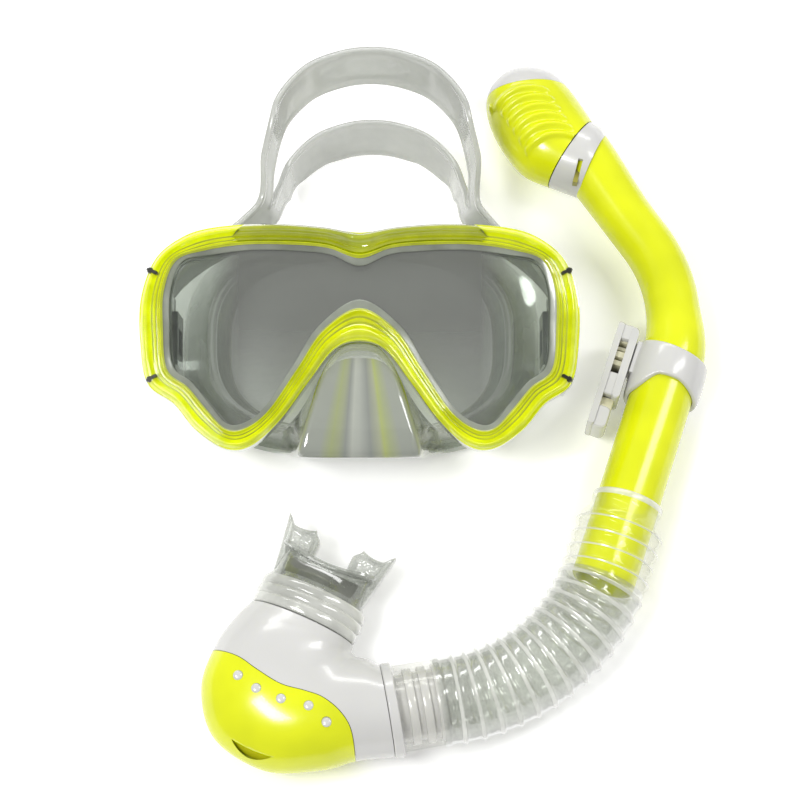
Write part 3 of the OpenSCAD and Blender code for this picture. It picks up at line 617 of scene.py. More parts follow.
# The seat round the lens as (share, height): in front of the lens and behind it
SEAT_A = [(SEAT_IN, SEAT_FRONT - 0.3), (SEAT_IN + 0.04, SEAT_FRONT), (SEAT_OUT, SEAT_FRONT),
          (SEAT_OUT, SEAT_BACK)]
SEAT_B = [(SEAT_IN - 0.03, SEAT_BACK + 0.6), (SEAT_IN, -LENS_T - 0.15), (LENS_EDGE + 0.02, -LENS_T - 0.15),
          (LENS_EDGE + 0.02, 0.15), (SEAT_IN, 0.15)]


def skirt():
    """The silicone skirt: the lens seat, the ribbed waist, the nose pocket and the rolled face seal."""
    in_front = nose()
    outs = np.stack([skirt_out(k) for k in range(len(NOSE_INWARD))])
    ins = []
    for out, inward in zip(outs, NOSE_INWARD):
        side = np.column_stack([-unit(out[:, :2]), np.full(RIM_N, -0.2)])
        ins.append(out + SKIRT_T * lerp(side, np.array(inward, float), in_front[:, None]))
    ins = np.stack(ins)
    ins[-1, :, 2] += 1
    outer, inner = catmull(outs, SKIRT_STEPS), catmull(ins, SKIRT_STEPS)
    at = np.arange(len(outer)) / SKIRT_STEPS
    ring = 1.5 * sum(np.exp(-(((at - k) / 0.16) ** 2)) for k in WAIST_RINGS)
    push = np.column_stack([unit(outs[3][:, :2]), np.zeros(RIM_N)]) * (1 - in_front)[:, None]
    outer = outer + ring[:, None, None] * push
    flange = [seal_ring(1, 1, 0), seal_ring(9, 6, 0.2), seal_ring(19, 12, 1.5), seal_ring(19, 12, 2.3),
              seal_ring(18.1, 11.1, 3.0), seal_ring(9, 6, 2.2)]
    rows = rim_rings(SEAT_A) + list(outer) + flange + list(inner[:0:-1]) + rim_rings(SEAT_B)
    obj = piece("silicone_skirt_soft", skin(on_table(np.stack(rows, 1)), True),
                [mat_skirt, mat_frost, mat_nose, mat_rib], "mask", ["silicone_skirt"], 60)
    clear, frosted, pocket, bead = range(4)
    soft = len(rows) - len(SEAT_A) - len(SEAT_B)
    kind = [frosted] * len(SEAT_A) + [clear] * soft + [frosted] * len(SEAT_B)
    kind[len(SEAT_A) + len(outer) + 3] = bead
    for poly in obj.data.polygons:
        k, i = divmod(poly.index, len(rows))
        station = (i - len(SEAT_A)) / SKIRT_STEPS
        poly.material_index = pocket if in_front[k] > 0.5 and 3 < station < 5 else kind[i]


# ------------------------------------------------------------------ strap
SLOT_W, STRAP_T, BAND_W, BAND_GAP, STRAP_LEAN = 18, 2.2, 19, 40, 4
STRAP_HALF = [
    [75, -17, -25], [75, -4, -25], [75, 17, -25], [74.2, 22.5, -25.6], [64, 34, -27.5], [48, 47, -30.5],
    [40.5, 56, -33], [38.5, 69, -36], [34, 84, -40], [24, 95.5, -43], [12, 101, -44.3], [0, 102.7, -44.6],
]
STRAP_EDGE = np.array([0, 0.3, 1.3, 1.9, 2.6])       # places of a band's rim, in from its edge
RIM_SHAPE = [0.45, 0.95, 1.0, 0.95, 0.72]            # its thickness there, as a share of the strap's
FLAT_SHARE, FLAT_COUNT = 0.72, 9                     # thickness and places of the flat between the rims


def strap_columns(slit, width, pad):
    """Places across one band from its inner edge out, as (reach, share of the strap's thickness)."""
    open_ = smooth(slit / 1.5)
    last = STRAP_EDGE[-1]
    columns = [(slit + e, lerp(FLAT_SHARE, s, open_)) for e, s in zip(STRAP_EDGE, RIM_SHAPE)]
    for j in range(FLAT_COUNT):
        at = lerp(last, width - last, (j + 1) / (FLAT_COUNT + 1))
        columns.append((slit + at, np.full_like(width, FLAT_SHARE)))
    for e, s in zip(STRAP_EDGE[::-1], RIM_SHAPE[::-1]):
        columns.append((slit + (width - e), np.full_like(width, s)))
    return [(reach, share + pad((reach - slit) / width)) for reach, share in columns]


def strap():
    """The split strap: a plain leg at each buckle, two rimmed bands behind the head, one with a pad."""
    left = [[-x, y, z] for x, y, z in STRAP_HALF]
    line = catmull(left + STRAP_HALF[-2::-1], 12)
    t = unit(np.gradient(line, axis=0))
    split = smooth((line[:, 1] - 52) / 34)[:, None]
    back = smooth((line[:, 1] - 20) / 50)[:, None]
    a = np.radians(33 * back)
    lift = unit(np.concatenate([0.3 * np.sign(line[:, :1]) * back * (1 - split), np.sin(a), np.cos(a)], 1))
    up = unit(lift - t * (lift * t).sum(1, keepdims=True))
    out = unit(np.cross(t, up))
    centre = line + STRAP_LEAN * back * [1, 0, 0]
    half = lerp(SLOT_W / 2, (BAND_GAP + BAND_W) / 2, split)
    slit = np.maximum(lerp(-0.4, (BAND_GAP - BAND_W) / 2, split), 0)
    along = np.concatenate([[0], np.cumsum(np.linalg.norm(np.diff(centre, axis=0), axis=1))])
    along = (along - along[-1] / 2)[:, None]

    def pad(across):
        """The oval pad in the middle of the upper band."""
        far = np.sqrt((along / 15) ** 2 + ((across - 0.52) / 0.3) ** 2)
        return 0.34 * smooth((1.12 - far) / 0.16) * (split > 0.9)

    lower = [(-r, share) for r, share in strap_columns(slit, half - slit, lambda across: 0)[::-1]]
    columns = lower + strap_columns(slit, half - slit, pad)
    places = np.stack([centre + up * reach for reach, _ in columns], 1)
    thick = np.stack([(share * STRAP_T)[:, 0] for _, share in columns], 1)
    keep = np.ones((len(line) - 1, len(columns) - 1), bool)
    gap_open = (slit[:-1, 0] > 0.02) | (slit[1:, 0] > 0.02)
    keep[gap_open, len(lower) - 1] = False
    normals = np.broadcast_to(out[:, None, :], places.shape)
    shape = thick_sheet(on_table(places), rotate_only(normals), thick, keep)
    piece("head_strap_soft", shape, mat_strap, "strap", ["head_strap"], 42)


# ------------------------------------------------------------------ snorkel spine
TUBE_R, TUBE_WALL, HOSE_R, SNORKEL_H, BEND_R, HOSE_BEND_R = 12.3, 1.7, 17.5, 18.8, 62, 75
START = np.array([94.2, 87.2])
H1, TURN1, TURN2 = -56.3, 52.2, 61.5
H2 = H1 - TURN1
H3 = H2 - TURN2


def tan_half(turn):
    return math.tan(math.radians(turn / 2))


def heading(h):
    return np.array([math.cos(math.radians(h)), math.sin(math.radians(h))])


STRAIGHT1 = 69.4 - BEND_R * tan_half(TURN1)
STRAIGHT2 = 164.2 - BEND_R * tan_half(TURN1) - HOSE_BEND_R * tan_half(TURN2)
STRAIGHT3 = 68.1 - HOSE_BEND_R * tan_half(TURN2)
ARC1, ARC2 = math.radians(TURN1) * BEND_R, math.radians(TURN2) * HOSE_BEND_R
P1 = START + STRAIGHT1 * heading(H1)
C1 = P1 + BEND_R * heading(H1 - 90)
P2 = C1 + BEND_R * heading(H2 + 90)
P3 = P2 + STRAIGHT2 * heading(H2)
C2 = P3 + HOSE_BEND_R * heading(H2 - 90)
P4 = C2 + HOSE_BEND_R * heading(H3 + 90)
P5 = P4 + STRAIGHT3 * heading(H3)
SPINE_END = STRAIGHT2 + ARC2 + STRAIGHT3
TUBE_TOP, TUBE_END = -ARC1 - STRAIGHT1 - 9, STRAIGHT2 + 6
AROUND = 72                                   # stations round the turned forms


def ahead(p, h, s=0.0):
    """A placing function: local +Z runs along heading h from distance s past p, and +X points down."""
    d = heading(h)

    def place(local):
        q = np.asarray(local, float)
        x = p[0] + (q[..., 2] + s) * d[0] - q[..., 1] * d[1]
        y = p[1] + (q[..., 2] + s) * d[1] + q[..., 1] * d[0]
        return np.stack([x, y, SNORKEL_H - q[..., 0]], -1)

    return place


def spine_place(s):
    """Point and heading of the spine a distance s past P2; negative s runs back up the tube."""
    if s < -ARC1:
        return P1 + (s + ARC1) * heading(H1), H1
    if s < 0:
        turn = math.degrees(-s / BEND_R)
        return C1 + BEND_R * heading(H2 + 90 + turn), H2 + turn
    if s < STRAIGHT2:
        return P2 + s * heading(H2), H2
    if s < STRAIGHT2 + ARC2:
        turn = math.degrees((s - STRAIGHT2) / HOSE_BEND_R)
        return C2 + HOSE_BEND_R * heading(H2 + 90 - turn), H2 - turn
    rest = s - STRAIGHT2 - ARC2
    return P4 + rest * heading(H3), H3


def along_spine(rows, place=spine_place):
    """A turned form whose rows of (distance, radius) follow the spine."""
    return skin([ahead(*place(s))(with_height(circle(r, AROUND), 0)) for s, r in rows], True)


def turned(place, rows):
    """A turned form of (distance, radius) rows about a placed axis."""
    return placed(skin([with_height(circle(r, AROUND), s) for s, r in rows], True), place)


def slimmer(s):
    """How much thinner the tube is between the keeper and the collar."""
    return 1.5 * smooth((-4 - s) / 22) * smooth((s - TUBE_TOP) / 40)


def tube_place(s):
    p, h = spine_place(s)
    return p - slimmer(s) * heading(h + 90), h


def tube():
    """The rigid tube, slimmer round its bend, its end rounded off inside the hose."""
    path = np.concatenate([np.linspace(TUBE_TOP, -ARC1, 16), np.linspace(-ARC1, 0, 30)[1:],
                           np.linspace(0, TUBE_END - 1.2, 14)[1:]])
    out = [(s, TUBE_R - slimmer(s)) for s in path]
    end = [(TUBE_END - 0.4, TUBE_R - 0.3), (TUBE_END, TUBE_R - 0.8), (TUBE_END, TUBE_R - TUBE_WALL)]
    inside = [(s, r - TUBE_WALL) for s, r in reversed(out)]
    piece("snorkel_tube_shell", along_spine(out + end + inside, tube_place), mat_lime, "snorkel",
          ["snorkel_tube"], 40)


# ------------------------------------------------------------------ dry top
CAP_SECTIONS = [
    [[94.8, 106.4], [76, 79.5], 14.5], [[90.5, 114], [66, 84.5], 15.8], [[85, 122.5], [58.5, 94], 16],
    [[79, 129], [53.5, 104], 15], [[71, 131.5], [51.3, 113], 12.5], [[63.5, 130.8], [51.8, 119.5], 8.5],
    [[58.5, 128], [54, 124.5], 3],
]
COLLAR_SECTIONS = [
    [[100.2, 99.9], [88.2, 74.6], 13.4], [[98.3, 103.2], [84, 76.3], 14.2], [[95, 106], [76.4, 79.4], 14.3],
]


def section_rings(sections, steps, n=120, inset=0.0):
    """Smooth rings through sections of [far edge, near edge, half thickness]."""
    rows = catmull([[*far, *near, half] for far, near, half in sections], steps)
    w = -turn_by(n)
    rings = []
    for row, t in zip(rows, np.broadcast_to(inset, len(rows))):
        c, a = (row[:2] + row[2:4]) / 2, (row[2:4] - row[:2]) / 2
        a = a * max(0.2, 1 - t / np.linalg.norm(a))
        tall = max(0.6, row[4] - t)
        rings.append(np.column_stack([c + np.outer(np.cos(w), a), SNORKEL_H + tall * np.sin(w)]))
    return np.array(rings)


# The ridges of the cap: one curve repeated along a direction, as seen from above
RIDGE_STEP = np.array([2.35, -4.2])
RIDGE_COUNT, RIDGE_H = 7, 1.6
RIDGE_RIGHT = np.array([75.9, 114.7])
RIDGE_ROUNDS = 12      # the ridge's number at a point is found by trying again from the last guess


def ridge_wave(x, y):
    """Height of the cap's ridges over a plan point, from 0 to 1."""
    k = np.zeros_like(x)
    for _ in range(RIDGE_ROUNDS):
        u = x - RIDGE_RIGHT[0] - k * RIDGE_STEP[0]
        curl = np.clip((-u - 9) / 13.5, 0, 0.995)
        drop = 1.2 * smooth((u + 7) / 7) + 10.5 * (1 - np.sqrt(1 - curl**2))
        k = (y - RIDGE_RIGHT[1] - 1.1 + drop) / RIDGE_STEP[1]
    inside = smooth((-u + 1) / 3.5) * smooth((u + 22.3) / 2.5)
    inside = inside * smooth((k + 0.55) / 0.3) * smooth((RIDGE_COUNT - 1.4 - k) / 0.3)
    return inside * (0.5 + 0.5 * np.cos(2 * np.pi * k))


def cap_shell():
    """The whole outer skin of the cap with its ridges."""
    rings = section_rings(CAP_SECTIONS, 26, 220)
    up = smooth((rings[..., 2] - SNORKEL_H) / 6)
    away = unit(rings - rings.mean(1, keepdims=True))
    wave = ridge_wave(rings[..., 0], rings[..., 1]) * up
    return rings + away * (wave * RIDGE_H)[..., None]


CAP_WALL = 1.8


def halved(name, rings, point, normal, keep_front, material, replaces):
    """One side of a parted shell: the skin is cut by a plane, then given its wall and rounded edges."""
    verts, faces = skin(rings)

    def part(work):
        everything = work.verts[:] + work.edges[:] + work.faces[:]
        bmesh.ops.bisect_plane(work, geom=everything, plane_co=Vector(point) * MM, plane_no=Vector(normal),
                               clear_outer=not keep_front, clear_inner=keep_front, dist=1e-7)

    open_skin = faces[:-2] + faces[-1:]
    obj = shown(name, mesh_of(name, (verts, open_skin), part))
    obj.data.materials.append(material)
    smooth_faces(obj.data)
    wall = obj.modifiers.new("wall", "SOLIDIFY")
    wall.thickness, wall.offset = CAP_WALL * MM, -1
    round_edges(obj, 0.35, 3, 50)
    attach(obj, "cap")
    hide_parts(replaces)


def cap():
    """The yellow cap and the white back shell behind it, parted by one upright plane."""
    rings = cap_shell()
    normal = np.array([*heading(96.5), 0])
    point = np.array([64.6, 119.4, SNORKEL_H])
    halved("splash_cap_shell", rings, point, normal, False, mat_lime, "splash_cap")
    halved("cap_back_shell", rings, point + 0.15 * normal, normal, True, mat_white, "cap_back")


def collar():
    """The white collar between tube and cap, with its small slot."""
    steps = 12
    outer = section_rings(COLLAR_SECTIONS, steps)
    inner = section_rings(COLLAR_SECTIONS, steps, inset=np.linspace(1.05, 2.0, len(outer)))[::-1]
    shape = skin(np.concatenate([outer, inner]), True)
    obj = piece("top_collar_shell", shape, mat_white, "snorkel", ["top_collar"], 45)
    a, b = np.array([86.3, 76.4]), np.array([88.6, 84.6])
    across = 0.95 * unit([b[1] - a[1], a[0] - b[0]])
    slot = [a - across, b - across, b + across, a + across]
    carve(obj, [prism(slot, SNORKEL_H + 1, SNORKEL_H + 30)])
    # Painted shade: a dark lime floor under the slot stands in for the shaded inside of the collar.
    floor = prism(slot, SNORKEL_H + 3, SNORKEL_H + 8.6)
    piece("collar_slot_shade_paint", floor, mat_painted_slot_shade, "snorkel", (), 30)


# ------------------------------------------------------------------ keeper
KEEPER_S = 3.4
at_keeper = ahead(P2, H2, KEEPER_S)


def keeper():
    """The saddle-shaped ring round the tube, wide on the clip's side and arched over the top."""
    a, steps = turn_by(120), 14
    up, toward_clip = -np.cos(a), smooth((-np.sin(a) - 0.2) / 0.75)
    low = -6.6 + 1.4 * np.sin(a) + 0.6 * up
    high = 6.6 + 4.5 * (1 - up) / 2 + 6.5 * toward_clip + 3 * smooth((np.sin(a) - 0.3) / 0.7) * 0.6
    r0, r1 = TUBE_R + 0.1, TUBE_R + 2.0
    start = [(0, r0), (0, r1 - 0.5), (0.02, r1 - 0.1), (0.05, r1)]
    middle = [(0.05 + 0.9 * j / steps, r1) for j in range(1, steps)]
    end = [(0.95, r1), (0.98, r1 - 0.1), (1, r1 - 0.5), (1, r0)]
    rows = []
    for f, r in start + middle + end:
        r += 0.45 * math.sin(math.pi * f) * (r > r0)
        rows.append(np.column_stack([r * np.cos(a), r * np.sin(a), lerp(low, high, f)]))
    web = box_shape((-5.5, -15.1, -6.8), (5.5, -12.9, 6.8), at_keeper)
    bridge = box_shape((-2.2, -16.6, -6.8), (2.2, -14.6, 6.8), at_keeper)
    rail = box_shape((-4, -18.0, -6.8), (4, -16.2, 6.8), at_keeper)
    shape = merged([placed(skin(rows, True), at_keeper), web, bridge, rail])
    piece("keeper_saddle", shape, mat_white, "keeper", ["keeper_ring"], 40, 0.25)


def slab(plan, x0, x1, round_by=0.5):
    """A plate of the clip: an outline (along the tube, away from the tube), x0 to x1 up from its middle."""
    away = plan - plan.mean(0)
    reach = np.linalg.norm(away, axis=1, keepdims=True)
    rings = []
    for x, k in ((x0, round_by), (x0 + round_by, 0), (x1 - round_by, 0), (x1, round_by)):
        q = plan.mean(0) + away * (1 - k / reach)
        rings.append(np.column_stack([np.full(len(q), -x), -q[:, 1], q[:, 0]]))
    return placed(skin(rings), at_keeper)


# The clip's two ends along the tube, its near and far side, and half its height
CLIP_START, CLIP_END, CLIP_NEAR, CLIP_FAR, CLIP_HALF = -11.9, 33.1, 15.4, 24.5, 7.5
# Place, length and top of the cream tabs in the windows
CLIP_TABS = [(-5.2, 2.0, 4.6), (-2.2, 1.5, 3.2), (0.9, 2.6, 5.0), (4.3, 2.2, 4.2), (23.6, 8.6, 3.4),
             (24.6, 3.4, 5.2)]


def clip():
    """The strap clip: two white bars, the bridges between them and the cream parts in the two windows."""
    across = (CLIP_NEAR + CLIP_FAR) / 2
    plates = [
        (CLIP_END - CLIP_START, 2.6, 0.9, 5, ((CLIP_START + CLIP_END) / 2, CLIP_FAR - 1.3), 0),
        (31, 3.2, 1.55, 6, (CLIP_START + 16.2, CLIP_NEAR + 1.75), 0.4),
        (9, 6.4, 2.2, 6, (CLIP_END - 4.6, CLIP_NEAR + 4.8), 1.0),
        (6.5, 8.6, 1.6, 6, (CLIP_START + 3.6, across), 0.6),
        (9.6, 8.2, 2.0, 6, (14.2, across + 0.3), 0.8),
    ]
    white = [slab(rounded_plan(*plan), -CLIP_HALF, CLIP_HALF - lower) for *plan, lower in plates]
    piece("keeper_clip_body", merged(white), mat_white, "clip", ["keeper_clip"], 40)
    tabs = [slab(rounded_plan(long, 5.6, 0.5, 3, (at, across - 0.1)), -CLIP_HALF + 1, top, 0.3)
            for at, long, top in CLIP_TABS]
    piece("keeper_clip_tabs", merged(tabs), mat_cream, "clip", (), 40)
    # Painted shade: a black plate low in the clip's windows darkens the gap under the cream tabs.
    floor = slab(rounded_plan(17, 6.2, 0.4, 3, (1.4, across)), -CLIP_HALF + 0.6, -CLIP_HALF + 1.6, 0.2)
    piece("keeper_clip_gap_shade", floor, mat_black, "clip", (), 40)


# ------------------------------------------------------------------ hose
HOSE_FROM, RIB_PITCH = 60, 6.0
HOSE_CORE = HOSE_R - 1.15
FIRST_RIB, LAST_RIB = HOSE_FROM + 13, SPINE_END - 20
# The cuff over the tube, as (distance past the hose's start, height over the tube)
CUFF = [(0, 0.15), (0, 1.3), (0.4, 1.7), (2.6, 1.7), (3.4, 1.2), (5.5, 1.6), (9, HOSE_CORE - 0.4 - TUBE_R)]


def hose():
    """The clear hose: a cuff over the tube, ribs along its length and a plain end over the spigot."""
    path = np.arange(HOSE_FROM + 11, SPINE_END - 1.2, 0.6)
    core = HOSE_CORE + 0.9 * smooth((path - LAST_RIB) / 4)
    wave = 0.5 + 0.5 * np.cos(2 * np.pi * (path - FIRST_RIB) / RIB_PITCH)
    ribbed = smooth((path - FIRST_RIB + 3) / 3) * smooth((LAST_RIB + 3 - path) / 3)
    outer = np.minimum(core + ribbed * (0.1 + 1.0 * wave**6), HOSE_R - 0.05)
    out = [(HOSE_FROM + s, TUBE_R + r) for s, r in CUFF] + list(zip(path, outer))
    inside = list(zip(path[::-1], (outer - 1.1 - 0.2 * ribbed * wave)[::-1]))
    inside += [(HOSE_FROM + 9.5, TUBE_R + 0.9), (HOSE_FROM + 6, TUBE_R + 0.15)]
    obj = piece("flex_hose_soft", along_spine(out + inside), [mat_hose, mat_rib, mat_hose_end], None,
                (), 60)

    def plain(s):
        return s > LAST_RIB + 3 or s < HOSE_FROM + 34

    wall, rib, end = range(3)
    kind = [end, rib, rib] + [end] * (len(CUFF) - 3)
    for w, s in zip(wave * ribbed, path):
        kind.append(end if plain(s) and w < 0.97 else rib if w > 0.955 else wall)
    kind += [end if plain(s) else wall for s, _ in inside]
    for poly in obj.data.polygons:
        poly.material_index = kind[poly.index // AROUND]
    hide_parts("flex_hose")
    bend_start, bend_end = ([*(p * MM), SNORKEL_H * MM] for p in (P3, P4))
    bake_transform(obj)
    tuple(bend_start)
    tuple(bend_end)


SPIGOT_BORE, SPIGOT_R, BARBS = 11.1, 12.9, (-19, -13.5, -8)


def spigot():
    """The white barbed spigot that the hose is pushed on, with its flange."""
    rows = [(-20, SPIGOT_BORE), (-20, SPIGOT_R)]
    for s in BARBS:
        barb = [(0, SPIGOT_R), (0, 14.3), (0.3, 14.5), (2.9, 14.5), (3.2, 14.3), (3.2, SPIGOT_R)]
        rows += [(s + along, r) for along, r in barb]
    rows += [(-1, SPIGOT_R), (-1, 17.4), (-0.6, 17.9), (2.4, 17.9), (2.8, 17.4), (2.8, SPIGOT_R)]
    rows += [(9, SPIGOT_R), (9, SPIGOT_BORE)]
    shape = turned(ahead(P5, H3), rows)
    piece("hose_spigot_body", shape, mat_white, "spigot", ["hose_spigot"], 40, 0.15)


# ------------------------------------------------------------------ purge chamber
BODY_SECTIONS = [
    [[7.55, -121.55], [13.56, -155.63], 17.3], [[3, -119.2], [-1, -157.4], 17.7],
    [[-1, -118.2], [-14, -160.8], 18.2], [[-2, -117.4], [-35, -161], 18.5],
    [[-2.6, -116.8], [-54, -149], 18.5], [[-2.9, -116.2], [-59.4, -130], 18],
    [[-2.9, -115.5], [-54.2, -113], 17], [[-2.7, -114.8], [-47.4, -103], 15.4],
    [[-2.4, -113.9], [-41.2, -96.7], 14],
]
COVER_EDGE = [
    [-66, -112], [-53.5, -117], [-44.5, -121.3], [-37.6, -126.5], [-28.6, -132.2], [-19.5, -134.8],
    [-12.8, -137.3], [-6, -143], [-2, -150.5], [-0.2, -166],
]
DOTS = [[-44.4, -128.5], [-37.5, -133.7], [-28.3, -137.8], [-18.1, -140.4], [-11.5, -146.2]]
LEAF, LEAF_R, CUT_TOP = (-39.2, -155), 11, 60      # CUT_TOP is above everything that is cut
SHELL_T, PORT, PORT_H = 1.9, np.array([-21.8, -105.3]), 66.1
at_port = ahead(PORT, PORT_H)


def oval(z, a, b, power=2):
    """An oval across the port, with flatter sides the higher its power."""
    w = turn_by(96)
    return np.column_stack([b * bend(np.cos(w), power), -a * bend(np.sin(w), power), np.full(len(w), z)])


def oval_tube(rows, wall):
    """A closed tube over rows of (distance, half width, half height, and at will a power)."""
    inside = [oval(z, a - wall, b - wall, *power) for z, a, b, *power in reversed(rows)]
    return placed(skin([oval(*r) for r in rows] + inside, True), at_port)


def cover_prism(by):
    """Everything on the cover's side of its edge, with the edge moved sideways by a distance."""
    edge = catmull(COVER_EDGE, 8)
    t = unit(np.gradient(edge, axis=0))
    edge = edge + by * np.column_stack([-t[:, 1], t[:, 0]])
    return prism(np.concatenate([edge, [[-0.2, -190], [-90, -190], [-90, -112]]]), -5, CUT_TOP)


def button(centre, z, r, flat):
    """A domed button: a closed half ball, flattened, on a short stem."""
    rings = [with_height(circle(r, 20, centre), z - 3)]
    for a in np.arange(7) / 7 * np.pi / 2:
        rings.append(with_height(circle(r * math.cos(a), 20, centre), z + r * flat * math.sin(a)))
    return skin(rings)


def surface_z(p, rings):
    """Height of the chamber's skin over a plan point."""
    rings = rings.reshape(-1, 3)
    rings = rings[rings[:, 2] > SNORKEL_H]
    near = np.argsort(np.linalg.norm(rings[:, :2] - p, axis=1))[:4]
    return rings[near, 2].mean()


def leaf_cut():
    """A cutter for the leaf-shaped slit low on the cover."""
    a, b = np.array([-46.8, -151.0]), np.array([-31.6, -157.8])
    t = np.linspace(0, 1, 14)
    d = unit(b - a)
    line, side = a + np.outer(t, b - a), np.array([d[1], -d[0]])
    upper = line + np.outer(0.5 * np.sin(np.pi * t), side)
    lower = line + np.outer(3.3 * np.sin(np.pi * t) ** 0.8, side)
    return prism(np.concatenate([upper, lower[-2:0:-1]]), SNORKEL_H + 1, CUT_TOP)


def chamber():
    """The white housing, the yellow purge cover that wraps its end and the cover's five buttons."""
    steps, n = 14, 160
    skin_out = section_rings(BODY_SECTIONS, steps, n)
    whole_skin = skin(skin_out)
    housing = piece("purge_housing_shell", whole_skin, mat_white, "chamber", ["purge_housing"], 50)
    carve(housing, [cover_prism(0.15)], angle=50)
    inner = section_rings(BODY_SECTIONS, steps, n, SHELL_T + 0.6)
    wall = piece("purge_inner_wall", skin(inner), [mat_cream, mat_leaf], "chamber", (), 50)
    # Partly painted shade: the inner wall under the leaf slit takes a darker olive lime.
    for poly in wall.data.polygons:
        near_leaf = math.dist(poly.center[:2], [c * MM for c in LEAF]) < LEAF_R * MM
        poly.material_index = 1 if near_leaf else 0
    lip = oval_tube([(-1.5, 18.2, 12.0), (0.5, 18.4, 12.2), (10, 18.4, 12.2), (10.6, 18.1, 11.9)], 1.8)
    piece("port_lip", lip, mat_white, "chamber", (), 40)
    cover = piece("purge_cover_shell", whole_skin, mat_lime, "chamber", ["purge_cover"], 50)
    carve(cover, [cover_prism(-0.1)], "INTERSECT", 50)
    holes = [prism(circle(1.85, 24, p), SNORKEL_H + 8, CUT_TOP) for p in DOTS]
    carve(cover, [leaf_cut()] + holes, angle=50)
    for obj in (housing, cover):
        round_edges(obj, 0.4, 3, 60)
    buttons = [button(p, surface_z(p, skin_out) - 0.45, 1.95, 0.4) for p in DOTS]
    piece("cover_buttons", merged(buttons), mat_white, "chamber", (), 50)


# ------------------------------------------------------------------ mouthpiece
SHIELD_R, SHIELD_Z, SHIELD_HALF, SHIELD_TALL = 60, 23.2, 19.4, 11
SLEEVE_A, SLEEVE_B = 20.15, 13.95
# The soft sleeve: distance, half width, half height and power of its outline
NECK = [
    (0.4, 19.9, 13.7, 2), (0.8, SLEEVE_A, SLEEVE_B, 2), (12, SLEEVE_A, SLEEVE_B, 2), (13.2, 19.8, 13.4, 2),
    (14.6, 18.8, 12.2, 2.2), (16.5, 18.4, 10.6, 2.5), (18.5, 18.2, 9.4, 2.8), (21, 17.9, 8.4, 3),
    (24, 17.5, 7.5, 3),
]


def shield():
    """The curved lip shield with the mouth's opening in it."""
    u, v = np.linspace(-SHIELD_HALF, SHIELD_HALF, 44)[:, None], np.linspace(-1, 1, 22)[None, :]
    ends = np.sqrt(np.clip(1 - (np.abs(u) / 20.6) ** 6, 0, 1))
    tall = SHIELD_TALL * (1 - 0.1 * np.exp(-((u / 8) ** 2))) * ends
    a = u / SHIELD_R + 0 * v
    grid = np.stack([-v * tall, SHIELD_R * np.sin(a), SHIELD_Z + SHIELD_R - SHIELD_R * np.cos(a)], -1)
    out = unit(np.gradient(grid, axis=0))
    normals = unit(np.cross(out, unit(np.gradient(grid, axis=1))))
    edge = np.minimum(1 - np.abs(v), 0.16) / 0.16
    side = np.clip(np.minimum(SHIELD_HALF - np.abs(u), 2) / 2, 0, 1)
    thick = 1.0 + 1.2 * np.sqrt(np.clip(edge * side, 0, 1))
    mid_u, mid_v = (u[:-1] + u[1:]) / 2, (v[:, :-1] + v[:, 1:]) / 2
    hole = (np.abs(mid_u) < 15.9) & (np.abs(mid_v * SHIELD_TALL) < 5.9)
    return placed(thick_sheet(grid, normals, thick, ~hole), at_port)


def bite_tab(side):
    """A plate between the teeth that grows out of the neck's flank: raised rims round a wrinkled pocket,
    its outer corner drawn out."""
    s, w = np.linspace(0, 1, 40)[:, None], np.linspace(0, 1, 30)[None, :]
    inner = lerp(15.5, 6.8, smooth(s / 0.4)) + 3.0 * smooth((s - 0.8) / 0.2)
    outer = 18.6 + 3.8 * s
    top = 20.9 - 1.5 * (1 - (2 * w - 1) ** 2) + 2.2 * smooth((w - 0.66) / 0.3)
    grid = np.stack([0 * s * w, side * lerp(inner, outer, w), 14.8 + s * top], -1)
    slopes = [(0.22 - w) / 0.12, (w - 0.74) / 0.12, (s - 0.89) / 0.06, (0.45 - s) / 0.1]
    rims = np.maximum.reduce([smooth(v) + 0 * grid[..., 0] for v in slopes])
    wrinkle = np.sin(19 * s + 5 * w) * np.sin(17 * w - 8 * s + 1.0) + 0.6 * np.sin(45 * s + 9 * w)
    edge = np.minimum(np.minimum(w, 1 - w), 1 - s) / 0.09
    round_off = np.sqrt(np.clip(edge, 0.06, 1))
    thick = (3.2 + 4.4 * rims + 0.7 * wrinkle * (1 - rims)) * lerp(0.45, 1, round_off)
    normals = np.broadcast_to(np.array([1.0, 0, 0]), grid.shape)
    return placed(thick_sheet(grid, normals, thick), at_port)


def mouthpiece():
    """Soft neck, lip shield and two bite tabs in one moulding; the neck's broad faces carry painted shade,
    a darker see-through grey.
    """
    shape = merged([oval_tube(NECK, 1.6), shield(), bite_tab(-1), bite_tab(1)])
    obj = piece("mouthpiece_soft", shape, [mat_mouth, mat_neck_shade], "chamber",
                ["mouthpiece"], 50)
    # painted shade on the neck's broad faces
    for poly in obj.data.polygons:
        away = np.array(poly.center[:2]) / MM - PORT
        ahead_by, across = away @ heading(PORT_H), away @ heading(PORT_H + 90)
        poly.material_index = 1 if 14.4 < ahead_by < 21.5 and abs(across) < 14 else 0


# The band that holds the mouthpiece, as (distance, height over the sleeve)
BAND = [(0.5, 0.1), (0.7, 0.75), (1.2, 1.05), (3.6, 1.15), (4.2, 0.8), (4.5, 0.45), (4.8, 0.8),
        (5.4, 1.3), (7.6, 1.35), (8.2, 0.9), (8.5, 0.5), (8.8, 0.85), (9.4, 1.1), (11.6, 0.85),
        (12.3, 0.4), (12.5, 0.06), (12.4, 0.04), (0.6, 0.04)]


def clamp():
    """The clear band of three ridges that holds the mouthpiece on the port."""
    shape = skin([oval(z, SLEEVE_A + g, SLEEVE_B + g) for z, g in BAND], True)
    piece("mouthpiece_band", placed(shape, at_port), mat_rib, "chamber", ["mouthpiece_clamp"], 50)


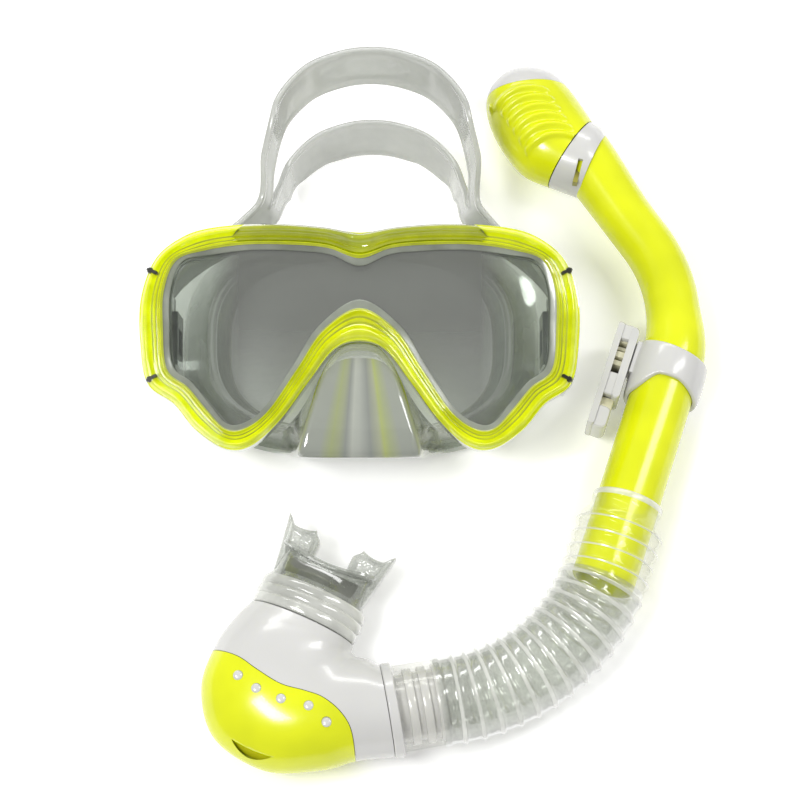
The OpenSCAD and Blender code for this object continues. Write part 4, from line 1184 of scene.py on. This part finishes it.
# ------------------------------------------------------------------ CAD nodes that stay
def dress(nodes, material, bevel):
    """Gives CAD nodes their material and rounded edges."""
    for name in nodes:
        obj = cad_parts[name]
        obj.data.materials.clear()
        obj.data.materials.append(material)
        smooth_faces(obj.data, 35)
        if bevel:
            round_edges(obj, bevel, 2, 40)


dress(["rear_frame"], mat_bezel, 0)
dress(["lens"], mat_lens, 0)
dress(["left_buckle", "right_buckle"], mat_smoke, 0.5)
dress(["left_release_lever", "right_release_lever"], mat_lever, 0.4)
dress([side + name for name in ("pivot_pin", "strap_roller", "lever_pin") for side in ("left_", "right_")],
      mat_steel, 0.1)
dress(["float_cage", "valve_seat"], mat_white, 0.15)
dress(["float_valve"], mat_orange, 0.2)
dress(["float_seal", "purge_valve"], mat_mouth, 0.15)

bezel()
brow_inlay()
piece("latch_wedges", latch_shapes(), mat_black, "mask", ["bezel_clips"], 35)
for build in (skirt, strap, tube, cap, collar, keeper, clip, hose, spigot, chamber, mouthpiece, clamp):
    build()


# ------------------------------------------------------------------ stage
FLOOR_HALF = 3.0                              # metres, like all of the stage
# Name, place, size and power in watts of the lamps
LAMPS = [("key", (-0.35, -0.25, 0.9), (0.34, 0.2), 5.6), ("fill", (0.55, 0.15, 0.8), (0.2, 0.5), 2.8),
         ("back", (0.0, 0.7, 0.6), (0.8, 0.14), 2.6)]
LIT_POINT = Vector((0.02, 0, 0))
TARGET, CAMERA_RISE, CAMERA_AWAY = Vector((0.0155, -0.0075, 0)), math.radians(70), 0.9


def aim(obj, place, target):
    obj.location = place
    obj.rotation_euler = (target - Vector(place)).to_track_quat("-Z", "Y").to_euler()


def paper_floor():
    """A plain pale floor with a faint glow of its own."""
    floor = bpy.data.meshes.new("floor")
    r = FLOOR_HALF
    floor.from_pydata([(-r, -r, 0), (r, -r, 0), (r, r, 0), (-r, r, 0)], [], [(0, 1, 2, 3)])
    paper = moulded("floor_white", (0.93, 0.93, 0.93), (0.95, 0.95, 0.95), rough=0.7, coat=0.0, grain=0.0)
    for node in paper.node_tree.nodes:
        if node.type == "BSDF_PRINCIPLED":
            node.inputs["Emission Color"].default_value = (1, 1, 1, 1)
            node.inputs["Emission Strength"].default_value = 0.2
    floor.materials.append(paper)
    shown("floor", floor)


def studio():
    """The floor, soft light from above and from the left, and the camera."""
    paper_floor()
    world = bpy.data.worlds.new("studio")
    world.use_nodes = True
    sky = world.node_tree.nodes["Background"].inputs
    sky["Color"].default_value = (1.0, 0.99, 0.98, 1)
    sky["Strength"].default_value = 0.46
    bpy.context.scene.world = world
    for name, place, size, power in LAMPS:
        lamp = bpy.data.lights.new(name, "AREA")
        lamp.shape = "RECTANGLE"
        lamp.size, lamp.size_y = size
        lamp.energy = power
        aim(shown(name, lamp), place, LIT_POINT)
    lens = bpy.data.cameras.new("camera")
    lens.lens, lens.sensor_width = 100.4, 36
    camera = shown("camera", lens)
    behind = Vector((0, -math.cos(CAMERA_RISE), math.sin(CAMERA_RISE)))
    aim(camera, TARGET + behind * CAMERA_AWAY, TARGET)
    bpy.context.scene.camera = camera
    bpy.context.scene.view_settings.view_transform = "Standard"


studio()
